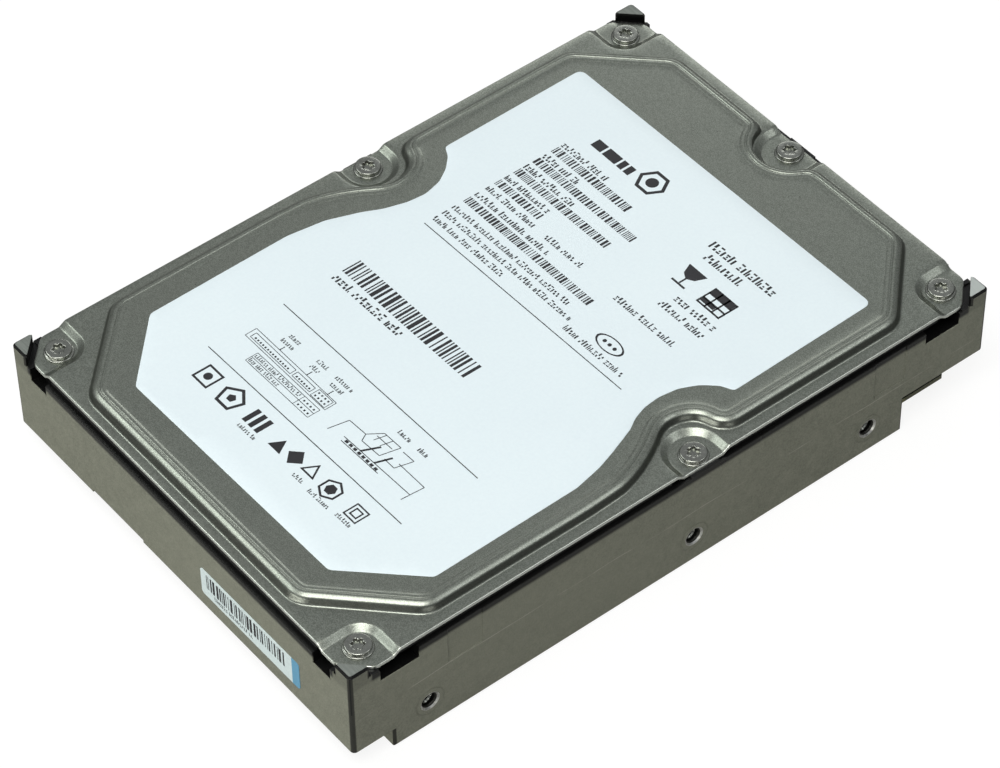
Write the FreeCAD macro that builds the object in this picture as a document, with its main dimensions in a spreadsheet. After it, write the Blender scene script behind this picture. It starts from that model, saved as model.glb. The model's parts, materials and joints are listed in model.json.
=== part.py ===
import FreeCAD, Part
import Sketcher
import math
import os
from FreeCAD import Vector, Rotation, Placement

# A 3.5 inch hard disk drive as separate pieces.
# Frame: X across the width (+X right), Y along the length (+Y is the rear, connector
# end), Z up, origin in the middle of the underside.  Millimetres and degrees.

doc = FreeCAD.newDocument("HardDiskDrive")

# ---------------------------------------------------------------- dimensions
# alias, value, what it is
DIMENSIONS = [
    ("drive_width", 101.6, "outer width of the casting"),
    ("drive_length", 147.0, "overall length, sticker included"),
    ("drive_height", 26.1, "overall height to the crest of the cover bead"),
    ("sticker_thick", 0.1, "front sticker"),
    ("corner_round", 0.9, "vertical corners of the casting"),
    ("wall_top", 22.4, "top of the casting wall"),
    ("boss_top", 22.75, "top of the cover screw bosses"),
    ("post_top", 25.1, "top of the front corner posts"),
    ("rear_post_top", 24.65, "top of the rear corner posts"),
    ("post_leg", 4.85, "leg of the triangular corner post"),
    ("front_under", 4.8, "underside of the front section"),
    ("board_recess", 6.5, "underside of the floor over the circuit board"),
    ("rear_under", 8.8, "underside of the rear section"),
    ("rail_width", 6.3, "width of the side rails"),
    ("rail_front", -64.6, "front end of the rails"),
    ("rail_rear", 53.8, "rear end of the rails"),
    ("floor_top", 10.5, "floor of the chamber"),
    ("spindle_y", -22.9, "spindle axis"),
    ("shroud_r", 48.0, "bore around the platters"),
    ("motor_bore_r", 16.0, "opening for the motor"),
    ("side_hole_z", 6.35, "height of the side holes"),
    ("side_hole_a", 45.0, "side hole next to the connector end"),
    ("side_hole_b", 3.39, "middle side hole"),
    ("side_hole_c", -56.6, "front side hole"),
    ("bottom_hole_x", 47.625, "bottom holes from the middle"),
    ("bottom_hole_a", 32.22, "rear bottom hole"),
    ("bottom_hole_b", -12.23, "middle bottom hole"),
    ("bottom_hole_c", -43.98, "front bottom hole"),
    ("thread_r", 1.42, "minor radius of the 6-32 threads"),
    ("side_hole_depth", 5.0, "depth of the side holes"),
    ("bottom_hole_depth", 7.0, "depth of the bottom holes"),
    ("cover_half_x", 50.2, "half width of the cover"),
    ("cover_half_y", 72.4, "half length of the cover"),
    ("sheet", 0.65, "cover sheet thickness"),
    ("rim_under", 23.7, "underside of the cover rim"),
    ("rim_top", 24.35, "top of the cover rim"),
    ("flat_top", 25.8, "recessed label area"),
    ("pad_under", 22.75, "underside of the screw pads"),
    ("pad_top", 23.4, "top of the screw pads"),
    ("corner_screw_x", 44.9, "corner screws across"),
    ("corner_screw_y", 67.05, "corner screws along"),
    ("mid_screw_x", 47.3, "side screws across"),
    ("mid_screw_y", 5.7, "side screws along"),
    ("rear_screw_y", 69.85, "rear middle screw"),
    ("screw_hole_r", 1.5, "clearance hole for a cover screw"),
    ("screw_shank_r", 1.2, "cover screw shank"),
    ("screw_head_r", 2.6, "cover screw head"),
    ("screw_head_h", 1.0, "cover screw head height"),
    ("gasket_low", 22.42, "gasket underside"),
    ("gasket_high", 23.68, "gasket top"),
    ("platter_r", 47.5, "platter radius"),
    ("platter_bore_r", 12.55, "platter bore"),
    ("platter_t", 1.27, "platter thickness"),
    ("platter_a_z", 13.0, "underside of the lower platter"),
    ("spacer_h", 2.6, "height of the platter spacer"),
    ("hub_r", 12.5, "hub radius"),
    ("hub_flange_r", 15.5, "hub flange radius"),
    ("shaft_r", 2.0, "spindle shaft radius"),
    ("sleeve_bore_r", 2.03, "bearing sleeve bore"),
    ("sleeve_r", 3.6, "bearing sleeve outside radius"),
    ("bracket_r", 19.4, "motor bracket radius"),
    ("bracket_under", 4.7, "motor bracket underside"),
    ("pivot_x", -27.5, "actuator pivot"),
    ("pivot_y", 28.5, "actuator pivot"),
    ("park_angle", -81.6, "direction of the arms when parked"),
    ("arm_hub_r", 8.5, "actuator hub radius"),
    ("pivot_r", 3.0, "pivot post radius"),
    ("pivot_bore_r", 3.05, "pivot sleeve bore"),
    ("pivot_sleeve_r", 6.45, "pivot sleeve outside radius"),
    ("arm_t", 1.0, "arm thickness"),
    ("arm_reach", 36.0, "arm length from the pivot"),
    ("coil_low", 14.4, "underside of the voice coil"),
    ("coil_t", 2.4, "voice coil thickness"),
    ("coil_in", 14.5, "voice coil inner radius"),
    ("coil_out", 28.0, "voice coil outer radius"),
    ("magnet_low_z", 12.0, "underside of the lower magnet"),
    ("magnet_up_z", 17.2, "underside of the upper magnet"),
    ("magnet_t", 2.0, "magnet thickness"),
    ("yoke_low_t", 1.5, "lower yoke thickness"),
    ("yoke_up_t", 2.0, "upper yoke thickness"),
    ("board_under", 1.6, "underside of the circuit board"),
    ("board_t", 1.0, "circuit board thickness"),
    ("board_front", -46.0, "front edge of the circuit board"),
    ("board_half_x", 44.0, "half width of the board between the rails"),
    ("board_rear_half_x", 47.0, "half width of the board behind the rails"),
    ("board_rear", 68.8, "rear edge of the circuit board"),
    ("plug_x", 18.5, "middle of the data and power connector"),
    ("plug_width", 39.6, "width of the connector housing"),
    ("plug_face", 73.4, "mating face of the connector"),
    ("pin_pitch", 1.27, "contact pitch"),
    ("jumper_pitch", 2.54, "jumper pin pitch"),
]
sheet = doc.addObject("Spreadsheet::Sheet", "Dims")
for row, (alias, value, note) in enumerate(DIMENSIONS, start=1):
    sheet.set("A%d" % row, alias)
    sheet.set("B%d" % row, repr(value))
    sheet.set("C%d" % row, note)
    sheet.setAlias("B%d" % row, alias)
doc.recompute()


def cell(name):
    """Plain value of a sheet dimension."""
    return float(sheet.get(name))


class Dim:
    """A number together with the sheet formula it comes from."""

    def __init__(self, value, formula):
        self.value = float(value)
        self.formula = formula

    @staticmethod
    def of(other):
        return other if isinstance(other, Dim) else Dim(other, "%.6f" % float(other))

    def __add__(self, other):
        other = Dim.of(other)
        return Dim(self.value + other.value, "(%s + %s)" % (self.formula, other.formula))

    def __sub__(self, other):
        other = Dim.of(other)
        return Dim(self.value - other.value, "(%s - %s)" % (self.formula, other.formula))

    def __mul__(self, other):
        other = Dim.of(other)
        return Dim(self.value * other.value, "(%s * %s)" % (self.formula, other.formula))

    def __rmul__(self, other):
        return Dim.of(other) * self

    def __truediv__(self, other):
        other = Dim.of(other)
        return Dim(self.value / other.value, "(%s / %s)" % (self.formula, other.formula))

    def __neg__(self):
        return Dim(-self.value, "(0 - %s)" % self.formula)


class SheetDims:
    """dims.alias gives the dimension as a Dim."""

    def __getattr__(self, name):
        return Dim(cell(name), "Dims." + name)


dims = SheetDims()


def num(size):
    return size.value if isinstance(size, Dim) else float(size)


def bind(obj, prop, size):
    if isinstance(size, Dim):
        obj.setExpression(prop, size.formula)


def drive(obj, prop, size):
    """Set a property and bind it to the sheet if the size comes from there."""
    setattr(obj, prop, num(size))
    bind(obj, prop, size)


# ------------------------------------------------------------------ outlines
def polygon(points):
    return ("poly", points)


def rect(x0, y0, x1, y1):
    return polygon([(x0, y0), (x1, y0), (x1, y1), (x0, y1)])


def circle(x, y, radius):
    return ("circle", x, y, radius)


def circles(places, radius):
    return [circle(x, y, radius) for x, y in places]


def both_sides(rects):
    """Rectangles given for the right side, and their mirror images on the left."""
    return [rect(side * x0, y0, side * x1, y1)
            for side in (1, -1) for x0, y0, x1, y1 in rects]


def mirrored(points):
    return [(-x, y) for x, y in reversed(points)]


def arc_points(centre_x, centre_y, radius, start, end, count):
    """count + 1 points on an arc from the start angle to the end angle."""
    angles = [math.radians(start + (end - start) * k / count) for k in range(count + 1)]
    return [(centre_x + radius * math.cos(a), centre_y + radius * math.sin(a))
            for a in angles]


def ring_points(radius, angles, centre_y=0.0):
    return [(radius * math.cos(math.radians(a)), centre_y + radius * math.sin(math.radians(a)))
            for a in angles]


def offset_polygon(points, distance):
    """Mitred offset of a closed counter-clockwise polygon, outwards if positive."""
    result = []
    for k, (x, y) in enumerate(points):
        before, after = points[k - 1], points[(k + 1) % len(points)]
        edge_in = (x - before[0], y - before[1])
        edge_out = (after[0] - x, after[1] - y)
        length_in, length_out = math.hypot(*edge_in), math.hypot(*edge_out)
        normal_in = (edge_in[1] / length_in, -edge_in[0] / length_in)
        normal_out = (edge_out[1] / length_out, -edge_out[0] / length_out)
        cosine = normal_in[0] * normal_out[0] + normal_in[1] * normal_out[1]
        result.append((x + distance * (normal_in[0] + normal_out[0]) / (1 + cosine),
                       y + distance * (normal_in[1] + normal_out[1]) / (1 + cosine)))
    return result


# ------------------------------------------------------- PartDesign features
MAX_BOUND_CORNERS = 24  # longer outlines are left without dimensions
ORIGIN, START, CENTRE = (-1, 1), 1, 3  # sketcher references
ON_AXIS = {"DistanceX": -2, "DistanceY": -1}  # axis on which that distance is zero


def new_body(label):
    body = doc.addObject("PartDesign::Body", label + "_body")
    body.Label = label
    return body


def sketch(body, name, loops, z, plane):
    """Sketch of closed loops on an origin plane moved by z along its normal."""
    profile = body.newObject("Sketcher::SketchObject", body.Label + "_" + name + "_profile")
    support = [f for f in body.Origin.OriginFeatures if f.Role == plane][0]
    profile.AttachmentSupport = [(support, "")]
    profile.MapMode = "FlatFace"
    profile.AttachmentOffset = Placement(Vector(0, 0, num(z)), Rotation())
    bind(profile, "AttachmentOffset.Base.z", z)
    geometry, constraints, bound = [], [], []

    def constrain(kind, *args):
        """Add a dimension, its size being the last argument."""
        bound.append((len(constraints), args[-1]))
        constraints.append(Sketcher.Constraint(kind, *args[:-1], num(args[-1])))

    for loop in loops:
        first = len(geometry)
        if loop[0] == "circle":
            x, y, radius = loop[1:]
            geometry.append(Part.Circle(Vector(num(x), num(y), 0), Vector(0, 0, 1),
                                        num(radius)))
            for kind, distance in (("DistanceX", x), ("DistanceY", y)):
                if abs(num(distance)) < 1e-9:
                    constraints.append(Sketcher.Constraint("PointOnObject", first, CENTRE,
                                                           ON_AXIS[kind]))
                else:
                    constrain(kind, *ORIGIN, first, CENTRE, distance)
            constrain("Radius", first, radius)
            continue
        points = loop[1]
        count = len(points)
        corners = [Vector(num(x), num(y), 0) for x, y in points]
        for k in range(count):
            geometry.append(Part.LineSegment(corners[k], corners[(k + 1) % count]))
        for k in range(count):
            constraints.append(Sketcher.Constraint("Coincident", first + k, 2,
                                                   first + (k + 1) % count, START))
        if count <= MAX_BOUND_CORNERS:
            for k, (x, y) in enumerate(points):
                for kind, distance in (("DistanceX", x), ("DistanceY", y)):
                    if isinstance(distance, Dim) and abs(num(distance)) > 1e-9:
                        constrain(kind, *ORIGIN, first + k, START, distance)
    profile.addGeometry(geometry, False)
    profile.addConstraint(constraints)
    for index, size in bound:
        bind(profile, "Constraints[%d]" % index, size)
    return profile


def extrude(kind, body, name, loops, z, length, taper, plane):
    profile = sketch(body, name, loops, z, plane)
    step = body.newObject("PartDesign::" + kind, body.Label + "_" + name)
    step.Profile = profile
    drive(step, "Length", length)
    step.TaperAngle = taper
    return step


def pad(body, name, loops, z, height, taper=0.0, plane="XY_Plane"):
    return extrude("Pad", body, name, loops, z, height, taper, plane)


def pocket(body, name, loops, z, depth, taper=0.0, plane="XY_Plane", up=False):
    """Cut against the plane's normal, or along it if up is set."""
    step = extrude("Pocket", body, name, loops, z, depth, taper, plane)
    step.Reversed = up
    return step


def revolve(body, name, points):
    """Closed profile of (radius, height) points turned about Z."""
    profile = sketch(body, name, [polygon(points)], 0.0, "XZ_Plane")
    step = body.newObject("PartDesign::Revolution", body.Label + "_" + name)
    step.Profile = profile
    step.ReferenceAxis = (profile, ["V_Axis"])
    step.Angle = 360


def polar_pattern(body, name, step, count):
    """Repeat a step round the Z axis of its sketch."""
    pattern = body.newObject("PartDesign::PolarPattern", body.Label + "_" + name)
    pattern.Originals = [step]
    pattern.Axis = (step.Profile[0], ["N_Axis"])
    pattern.Angle = 360
    pattern.Occurrences = count
    body.Tip = pattern


def dress_edges(body, name, kind, size_name, size, test):
    """Fillet or chamfer those edges of the body that pass the test."""
    doc.recompute()
    base = body.Tip
    names = ["Edge%d" % k for k, edge in enumerate(base.Shape.Edges, start=1) if test(edge)]
    step = body.newObject("PartDesign::" + kind, body.Label + "_" + name)
    step.Base = (base, names)
    drive(step, size_name, size)


# --------------------------------------------------- plain solids and objects
def feature(label, shape):
    obj = doc.addObject("Part::Feature", label + "_solid")
    obj.Shape = shape
    obj.Label = label
    return obj


def group(label, shapes):
    return feature(label, Part.makeCompound(shapes))


def cyl(x, y, z, radius, height):
    return Part.makeCylinder(radius, height, Vector(x, y, z), Vector(0, 0, 1))


def box(x_span, y_span, z_span):
    """Box from three (low, high) pairs."""
    low, high = zip(x_span, y_span, z_span)
    return Part.makeBox(*[b - a for a, b in zip(low, high)], Vector(*low))


def around(middle, half):
    return (middle - half, middle + half)


def face_of(points, z=0.0):
    corners = [Vector(num(x), num(y), z) for x, y in points]
    return Part.Face(Part.makePolygon(corners + corners[:1]))


def prism(points, z0, z1):
    return face_of(points, z0).extrude(Vector(0, 0, z1 - z0))


def box_object(label, corner, size):
    obj = doc.addObject("Part::Box", label + "_box")
    obj.Label = label
    obj.Length, obj.Width, obj.Height = size
    obj.Placement = Placement(Vector(*corner), Rotation())
    return obj


def bound_cylinder(name, radius, height, x, y, z):
    obj = doc.addObject("Part::Cylinder", name)
    drive(obj, "Radius", radius)
    drive(obj, "Height", height)
    obj.Placement = Placement(Vector(num(x), num(y), num(z)), Rotation())
    for axis, distance in (("x", x), ("y", y), ("z", z)):
        bind(obj, "Placement.Base." + axis, distance)
    return obj


def tube(label, outer_r, inner_r, height, x, y, z):
    outer = bound_cylinder(label + "_outer", outer_r, height, x, y, z)
    inner = bound_cylinder(label + "_inner", inner_r, height + 2.0, x, y, z - 1.0)
    obj = doc.addObject("Part::Cut", label + "_tube")
    obj.Base = outer
    obj.Tool = inner
    obj.Label = label
    return obj


def star_socket(x, y, top, depth, outer_r, inner_r):
    """Six-lobed tool that cuts the drive of a screw."""
    points = []
    for k in range(36):
        angle = 2 * math.pi * k / 36.0
        radius = (outer_r + inner_r) / 2 + (outer_r - inner_r) / 2 * math.cos(6 * angle)
        points.append((x + radius * math.cos(angle), y + radius * math.sin(angle)))
    return prism(points, top - depth, top + 0.5)


def screws(label, places, seat, head_r, head_h, shank_r, shank_len):
    """Screws pointing down, with rounded head rims and star sockets."""
    shapes = []
    for x, y in places:
        top = seat + head_h
        head = cyl(x, y, seat, head_r, head_h)
        rim = [e for e in head.Edges if e.BoundBox.ZMin > top - 1e-6
               and e.Closed and e.BoundBox.XLength > head_r]
        head = head.makeFillet(min(0.3, head_h * 0.35), rim)
        head = head.cut(star_socket(x, y, top, head_h * 0.7, head_r * 0.46, head_r * 0.32))
        shapes.append(head.fuse(cyl(x, y, seat - shank_len, shank_r, shank_len + 0.05)))
    return group(label, shapes)


def upward_screws(label, places, head_z, head_r, head_h, shank_z, shank_r, shank_len):
    """Plain screws pointing up, head at the bottom."""
    return group(label, [cyl(x, y, head_z, head_r, head_h).fuse(
        cyl(x, y, shank_z, shank_r, shank_len)) for x, y in places])


# ----------------------------------------------- places shared by the pieces
half_x = dims.drive_width / 2
half_y = dims.drive_length / 2
front_y = -(half_y - dims.sticker_thick)

CORNER_SCREWS = [(dims.corner_screw_x, dims.corner_screw_y),
                 (-dims.corner_screw_x, dims.corner_screw_y),
                 (dims.corner_screw_x, -dims.corner_screw_y),
                 (-dims.corner_screw_x, -dims.corner_screw_y)]
COVER_SCREWS = CORNER_SCREWS + [(dims.mid_screw_x, dims.mid_screw_y),
                                (-dims.mid_screw_x, dims.mid_screw_y),
                                (0.0, dims.rear_screw_y)]
BOARD_SCREWS = [(40.5, -42.0), (-40.5, -42.0), (40.5, 20.0), (-40.5, 20.0),
                (43.3, 60.0), (-43.3, 60.0)]
YOKE_POSTS = [(-11.4, 56.4), (-35.2, 59.4), (-10.6, 42.6), (-40.4, 43.8)]
MOTOR_SCREW_RING = 17.7
MOTOR_SCREW_ANGLES = (90, 210, 330)
MOTOR_SCREWS = ring_points(MOTOR_SCREW_RING, MOTOR_SCREW_ANGLES, cell("spindle_y"))
CLAMP_SCREW_RING = 8.6
CLAMP_SCREW_ANGLES = range(0, 360, 60)

FLOOR = cell("floor_top")
PIVOT = Vector(cell("pivot_x"), cell("pivot_y"), 0)

# ------------------------------------------------------------- base casting
# Chamber behind the platter bore, for the actuator and its motor; right half (x, y)
CHAMBER_HALF = [(30.0, 4.0), (38.0, 8.0), (45.2, 18.0), (45.2, 53.0), (33.0, 65.0),
                (9.5, 65.0), (5.0, 60.6)]
ARM_RELIEF = [(-36.5, -3.0), (-36.5, 13.5), (-41.0, 13.5), (-43.0, 9.5), (-43.0, -3.0)]
ARM_RELIEF_HEIGHT = 9.9
FRONT_CORE = [(-24.0, -62.0), (24.0, -62.0), (27.0, -59.0), (27.0, -52.5),
              (24.0, -49.5), (-24.0, -49.5), (-27.0, -52.5), (-27.0, -59.0)]
# Right-side rectangles, x0, y0, x1, y1; they run out past the casting
EDGE_RECESSES = [(47.9, -66.9, 53.0, -58.5), (47.9, 58.2, 53.0, 66.5),
                 (40.2, -76.0, 45.2, -71.0), (40.2, 71.0, 45.2, 76.0)]
FLANK_PANELS = [(50.66, -52.35, 53.0, -44.75), (50.66, 46.0, 53.0, 53.5)]
# Corner post tiers: inset of the outer sides, drop below the post top
POST_TIERS = [(0.0, 0.42), (0.2, 0.15), (0.4, 0.0)]
WALL_OVERLAP = 0.4  # how far the raised parts reach down into the wall
SEAT_R = 3.4  # corner seats, and half width of the rear one
SIDE_SEAT_HALF = 3.3


def post_outline(side, end, end_y, inset):
    """Triangle with cut corners, its two outer sides moved in by the inset."""
    leg = dims.post_leg
    points = [(half_x - inset, end_y - inset),
              (half_x - leg + 1.0, end_y - inset),
              (half_x - leg + 0.55, end_y - 0.2),
              (half_x - leg + 0.65, end_y - 0.65),
              (half_x - 0.65, end_y - leg + 0.65),
              (half_x - 0.2, end_y - leg + 0.55),
              (half_x - inset, end_y - leg + 1.0)]
    if inset:
        corner = dims.corner_round
        turn = arc_points(half_x - corner, end_y - corner, corner - inset, 0, 90, 4)
        points = turn + [points[k] for k in (1, 3, 4, 6)]
    return polygon([(side * x, end * y) for x, y in points])


def casting_outside(casting):
    pad(casting, "block", [rect(-half_x, front_y, half_x, half_y)], z=dims.front_under,
        height=dims.wall_top - dims.front_under)
    rail = (half_x - dims.rail_width, dims.rail_front, half_x, dims.rail_rear)
    pad(casting, "rails", both_sides([rail]), z=0.0, height=dims.front_under)

    # raised seats under the cover screw pads
    root = dims.wall_top - WALL_OVERLAP
    seats = circles(CORNER_SCREWS, SEAT_R)
    seats += both_sides([(44.2, dims.mid_screw_y - SIDE_SEAT_HALF,
                          half_x, dims.mid_screw_y + SIDE_SEAT_HALF)])
    seats.append(rect(-SEAT_R, 66.6, SEAT_R, half_y))
    pad(casting, "screw_seats", seats, z=root, height=dims.boss_top - root)

    # corner posts, their outer top edges broken in small steps
    for tag, end, end_y, top in (("rear", 1, half_y, dims.rear_post_top),
                                 ("front", -1, -front_y, dims.post_top)):
        for k, (inset, drop) in enumerate(POST_TIERS, start=1):
            pad(casting, "corner_posts_%s_%d" % (tag, k),
                [post_outline(side, end, end_y, inset) for side in (1, -1)],
                z=root, height=top - drop - root)

    # low steps at the foot of each post, one on the flank and one on the end
    leg = dims.post_leg
    steps = []
    for side in (1, -1):
        for end, end_y in ((1, half_y), (-1, -front_y)):
            steps.append(rect(side * (half_x - 1.5), end * (end_y - leg - 1.5),
                              side * half_x, end * (end_y - leg + 0.2)))
            steps.append(rect(side * (half_x - leg - 1.4), end * (end_y - 1.5),
                              side * (half_x - leg + 0.2), end * end_y))
    pad(casting, "post_steps", steps, z=root, height=0.7)


def casting_chamber(casting):
    depth = dims.wall_top - dims.floor_top
    pocket(casting, "platter_bore", [circle(0.0, dims.spindle_y, dims.shroud_r)],
           z=dims.wall_top, depth=depth)
    pocket(casting, "actuator_chamber", [polygon(CHAMBER_HALF + mirrored(CHAMBER_HALF))],
           z=dims.wall_top, depth=depth)
    pocket(casting, "motor_opening", [circle(0.0, dims.spindle_y, dims.motor_bore_r)],
           z=dims.floor_top + 0.5, depth=12.0)
    # room under the left screw boss for the arms at the end of their travel
    pocket(casting, "arm_relief", [polygon(ARM_RELIEF)],
           z=dims.floor_top + ARM_RELIEF_HEIGHT, depth=ARM_RELIEF_HEIGHT)


def casting_recesses(casting):
    inner_x = half_x - dims.rail_width
    pocket(casting, "board_recess", [rect(-inner_x, -47.0, inner_x, dims.rail_rear + 0.2)],
           z=dims.board_recess, depth=8.0)
    pocket(casting, "rear_recess", [rect(-60.0, dims.rail_rear, 60.0, 80.0)],
           z=dims.rear_under, depth=10.0)
    pocket(casting, "front_notch", [rect(-27.5, -78.0, -11.7, -72.0)],
           z=dims.front_under + 0.6, depth=3.0)
    # the thick front is cored out from below to keep an even wall
    pocket(casting, "front_core", [polygon(FRONT_CORE)], z=dims.front_under + 2.8, depth=8.0)
    # beside the corner posts, open to the top
    pocket(casting, "edge_recesses", both_sides(EDGE_RECESSES), z=22.8, depth=3.1)
    # slightly set-back panels on both flanks
    pocket(casting, "flank_panels", both_sides(FLANK_PANELS), z=23.0, depth=9.2)


def casting_threads(casting):
    pocket(casting, "screw_threads", circles(COVER_SCREWS, 1.2), z=dims.boss_top, depth=7.5)
    board_top = dims.board_under + dims.board_t
    pad(casting, "board_posts", circles(BOARD_SCREWS, 3.0), z=board_top,
        height=dims.rear_under - board_top + 0.2)
    pocket(casting, "board_threads", circles(BOARD_SCREWS, 1.1), z=2.5, depth=5.5, up=True)
    pocket(casting, "feed_opening", [rect(14.2, 44.2, 29.8, 49.8)],
           z=dims.floor_top + 0.2, depth=8.0)
    pocket(casting, "pivot_thread", [circle(dims.pivot_x, dims.pivot_y, 2.0)],
           z=dims.floor_top, depth=2.4)
    pocket(casting, "yoke_threads", circles(YOKE_POSTS, 0.9), z=dims.floor_top, depth=2.8)
    pocket(casting, "motor_threads", circles(MOTOR_SCREWS, 0.8),
           z=dims.board_recess - 0.1, depth=2.6, up=True)


def casting_mounting_holes(casting):
    side_holes = [(y, dims.side_hole_z)
                  for y in (dims.side_hole_a, dims.side_hole_b, dims.side_hole_c)]
    flanks = (("right", half_x, False), ("left", -half_x, True))
    for flank, x, up in flanks:
        pocket(casting, "side_holes_" + flank, circles(side_holes, dims.thread_r), z=x,
               depth=dims.side_hole_depth, plane="YZ_Plane", up=up)
    bottom_holes = [(side * dims.bottom_hole_x, y) for side in (1, -1)
                    for y in (dims.bottom_hole_a, dims.bottom_hole_b, dims.bottom_hole_c)]
    pocket(casting, "bottom_holes", circles(bottom_holes, dims.thread_r), z=0.0,
           depth=dims.bottom_hole_depth, up=True)
    # shallow ring around each side hole
    rings = [circle(y, z, radius) for y, z in side_holes for radius in (3.25, 2.95)]
    for flank, x, up in flanks:
        pocket(casting, "hole_rings_" + flank, rings, z=x, depth=0.06,
               plane="YZ_Plane", up=up)


def near(value, target):
    return abs(value - num(target)) < 1e-3


def on_flank(bounds):
    return near(abs(bounds.XMin), half_x) and bounds.XLength < 1e-4


def is_casting_corner(edge):
    bounds = edge.BoundBox
    return (bounds.ZLength > 1.0 and on_flank(bounds) and bounds.YLength < 1e-4
            and (near(bounds.YMin, half_y) or near(bounds.YMin, front_y)))


def is_hole_mouth(edge):
    curve = edge.Curve
    bounds = edge.BoundBox
    on_bottom = abs(bounds.ZMin) < 1e-4 and bounds.ZLength < 1e-4
    return (hasattr(curve, "Radius") and near(curve.Radius, dims.thread_r)
            and (on_flank(bounds) or on_bottom))


def is_rail_edge(edge):
    bounds = edge.BoundBox
    at_rail_end = (bounds.ZLength > 3.0 and bounds.YLength < 1e-4
                   and (near(bounds.YMin, dims.rail_front)
                        or near(bounds.YMin, dims.rail_rear)))
    return on_flank(bounds) and (bounds.ZMax < 1e-4 or at_rail_end)


def base_casting():
    casting = new_body("base_casting")
    casting_outside(casting)
    casting_chamber(casting)
    casting_recesses(casting)
    casting_threads(casting)
    casting_mounting_holes(casting)
    dress_edges(casting, "corner_rounding", "Fillet", "Radius", dims.corner_round,
                is_casting_corner)
    dress_edges(casting, "hole_countersinks", "Chamfer", "Size", 0.55, is_hole_mouth)
    dress_edges(casting, "rail_rounding", "Fillet", "Radius", 0.6, is_rail_edge)
    return casting


# ---------------------------------------------------------------- top cover
# Right edge of the recessed label area (x, y), from front to rear
LABEL_AREA_RIGHT = [
    (29.6, -67.0), (44.4, -52.2), (44.4, -18.0), (44.06, -10.5), (43.4, -8.0),
    (42.5, -5.5), (41.3, -3.0), (39.9, -0.5), (38.6, 1.4), (37.6, 3.2),
    (36.95, 5.7), (37.2, 8.5), (37.8, 10.3), (38.7, 12.0), (40.0, 13.4),
    (41.7, 14.5), (44.4, 15.4), (44.4, 52.8), (30.8, 66.6), (10.0, 66.5)]
REAR_DIP_R = 9.5  # the area's rear edge dips round the rear middle screw
COVER_CORNER_CUT = 4.9
BEAD_GROW, HOLLOW_GROW = 3.3, 2.6  # outlines grown beyond the label area
BEAD_TAPER, HOLLOW_TAPER = -32.0, -22.0
# Pressed screw pads: inner edges of the corner pads and their cut, radii of the others
CORNER_PAD_X, CORNER_PAD_Y, CORNER_PAD_CUT = 41.8, 63.5, 3.0
SIDE_PAD_R, REAR_PAD_R = 4.4, 5.2
PAD_BLOCK_GROW = 0.85
PAD_SLOPE_RUN = 1.3  # run of the sloping pad sides from pad top to rim top
PRESS_ABOVE = 0.6  # how far the press tools stand above the rim
PAST_EDGE = 0.5  # how far the pad outlines run past the cover edge


def label_area():
    """Edge of the recessed label area, counter-clockwise."""
    screw_y = cell("rear_screw_y")
    dip = arc_points(0.0, screw_y, REAR_DIP_R, -20.6, -90.0, 6)
    right = LABEL_AREA_RIGHT + dip[:-1]
    return right + [(0.0, screw_y - REAR_DIP_R)] + mirrored(right)


def pad_outlines(grow):
    """Screw pad outlines, grown inwards over the cover by the given amount."""
    edge_x, edge_y = cell("cover_half_x") + PAST_EDGE, cell("cover_half_y") + PAST_EDGE
    x, y, cut = CORNER_PAD_X - grow, CORNER_PAD_Y - grow, CORNER_PAD_CUT
    corner = [(x, y + cut), (x + 0.3 * cut, y + 0.3 * cut), (x + cut, y),
              (edge_x, y), (edge_x, edge_y), (x, edge_y)]
    outlines = [[(side * x, end * y) for x, y in corner]
                for side, end in ((1, 1), (-1, 1), (1, -1), (-1, -1))]
    radius, screw_y = SIDE_PAD_R + grow, cell("mid_screw_y")
    right = [(edge_x, screw_y - radius)]
    right += arc_points(cell("mid_screw_x"), screw_y, radius, 270.0, 90.0, 10)
    right += [(edge_x, screw_y + radius)]
    outlines += [[(side * x, y) for x, y in right] for side in (1, -1)]
    radius = REAR_PAD_R + grow
    rear = arc_points(0.0, cell("rear_screw_y"), radius, 0.0, -180.0, 12)
    outlines.append([(radius, edge_y)] + rear + [(-radius, edge_y)])
    return outlines


def clipped(outlines, edge):
    """Keep the outlines inside the edge of the cover."""
    cover_face = face_of(edge)
    loops = []
    for points in outlines:
        wire = cover_face.common(face_of(points)).Faces[0].OuterWire
        loops.append(polygon([(v.Point.x, v.Point.y) for v in wire.OrderedVertexes]))
    return loops


def frustum(low_points, low_z, high_points, high_z):
    """Solid between two polygons with parallel sides."""
    low = [Vector(x, y, low_z) for x, y in low_points]
    high = [Vector(x, y, high_z) for x, y in high_points]
    faces = [Part.Face(Part.makePolygon(ring + ring[:1])) for ring in (low, high)]
    for k in range(len(low)):
        after = (k + 1) % len(low)
        faces.append(Part.Face(Part.makePolygon(
            [low[k], low[after], high[after], high[k], low[k]])))
    solid = Part.makeSolid(Part.makeShell(faces))
    if solid.Volume < 0:
        solid.reverse()
    return solid


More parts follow.
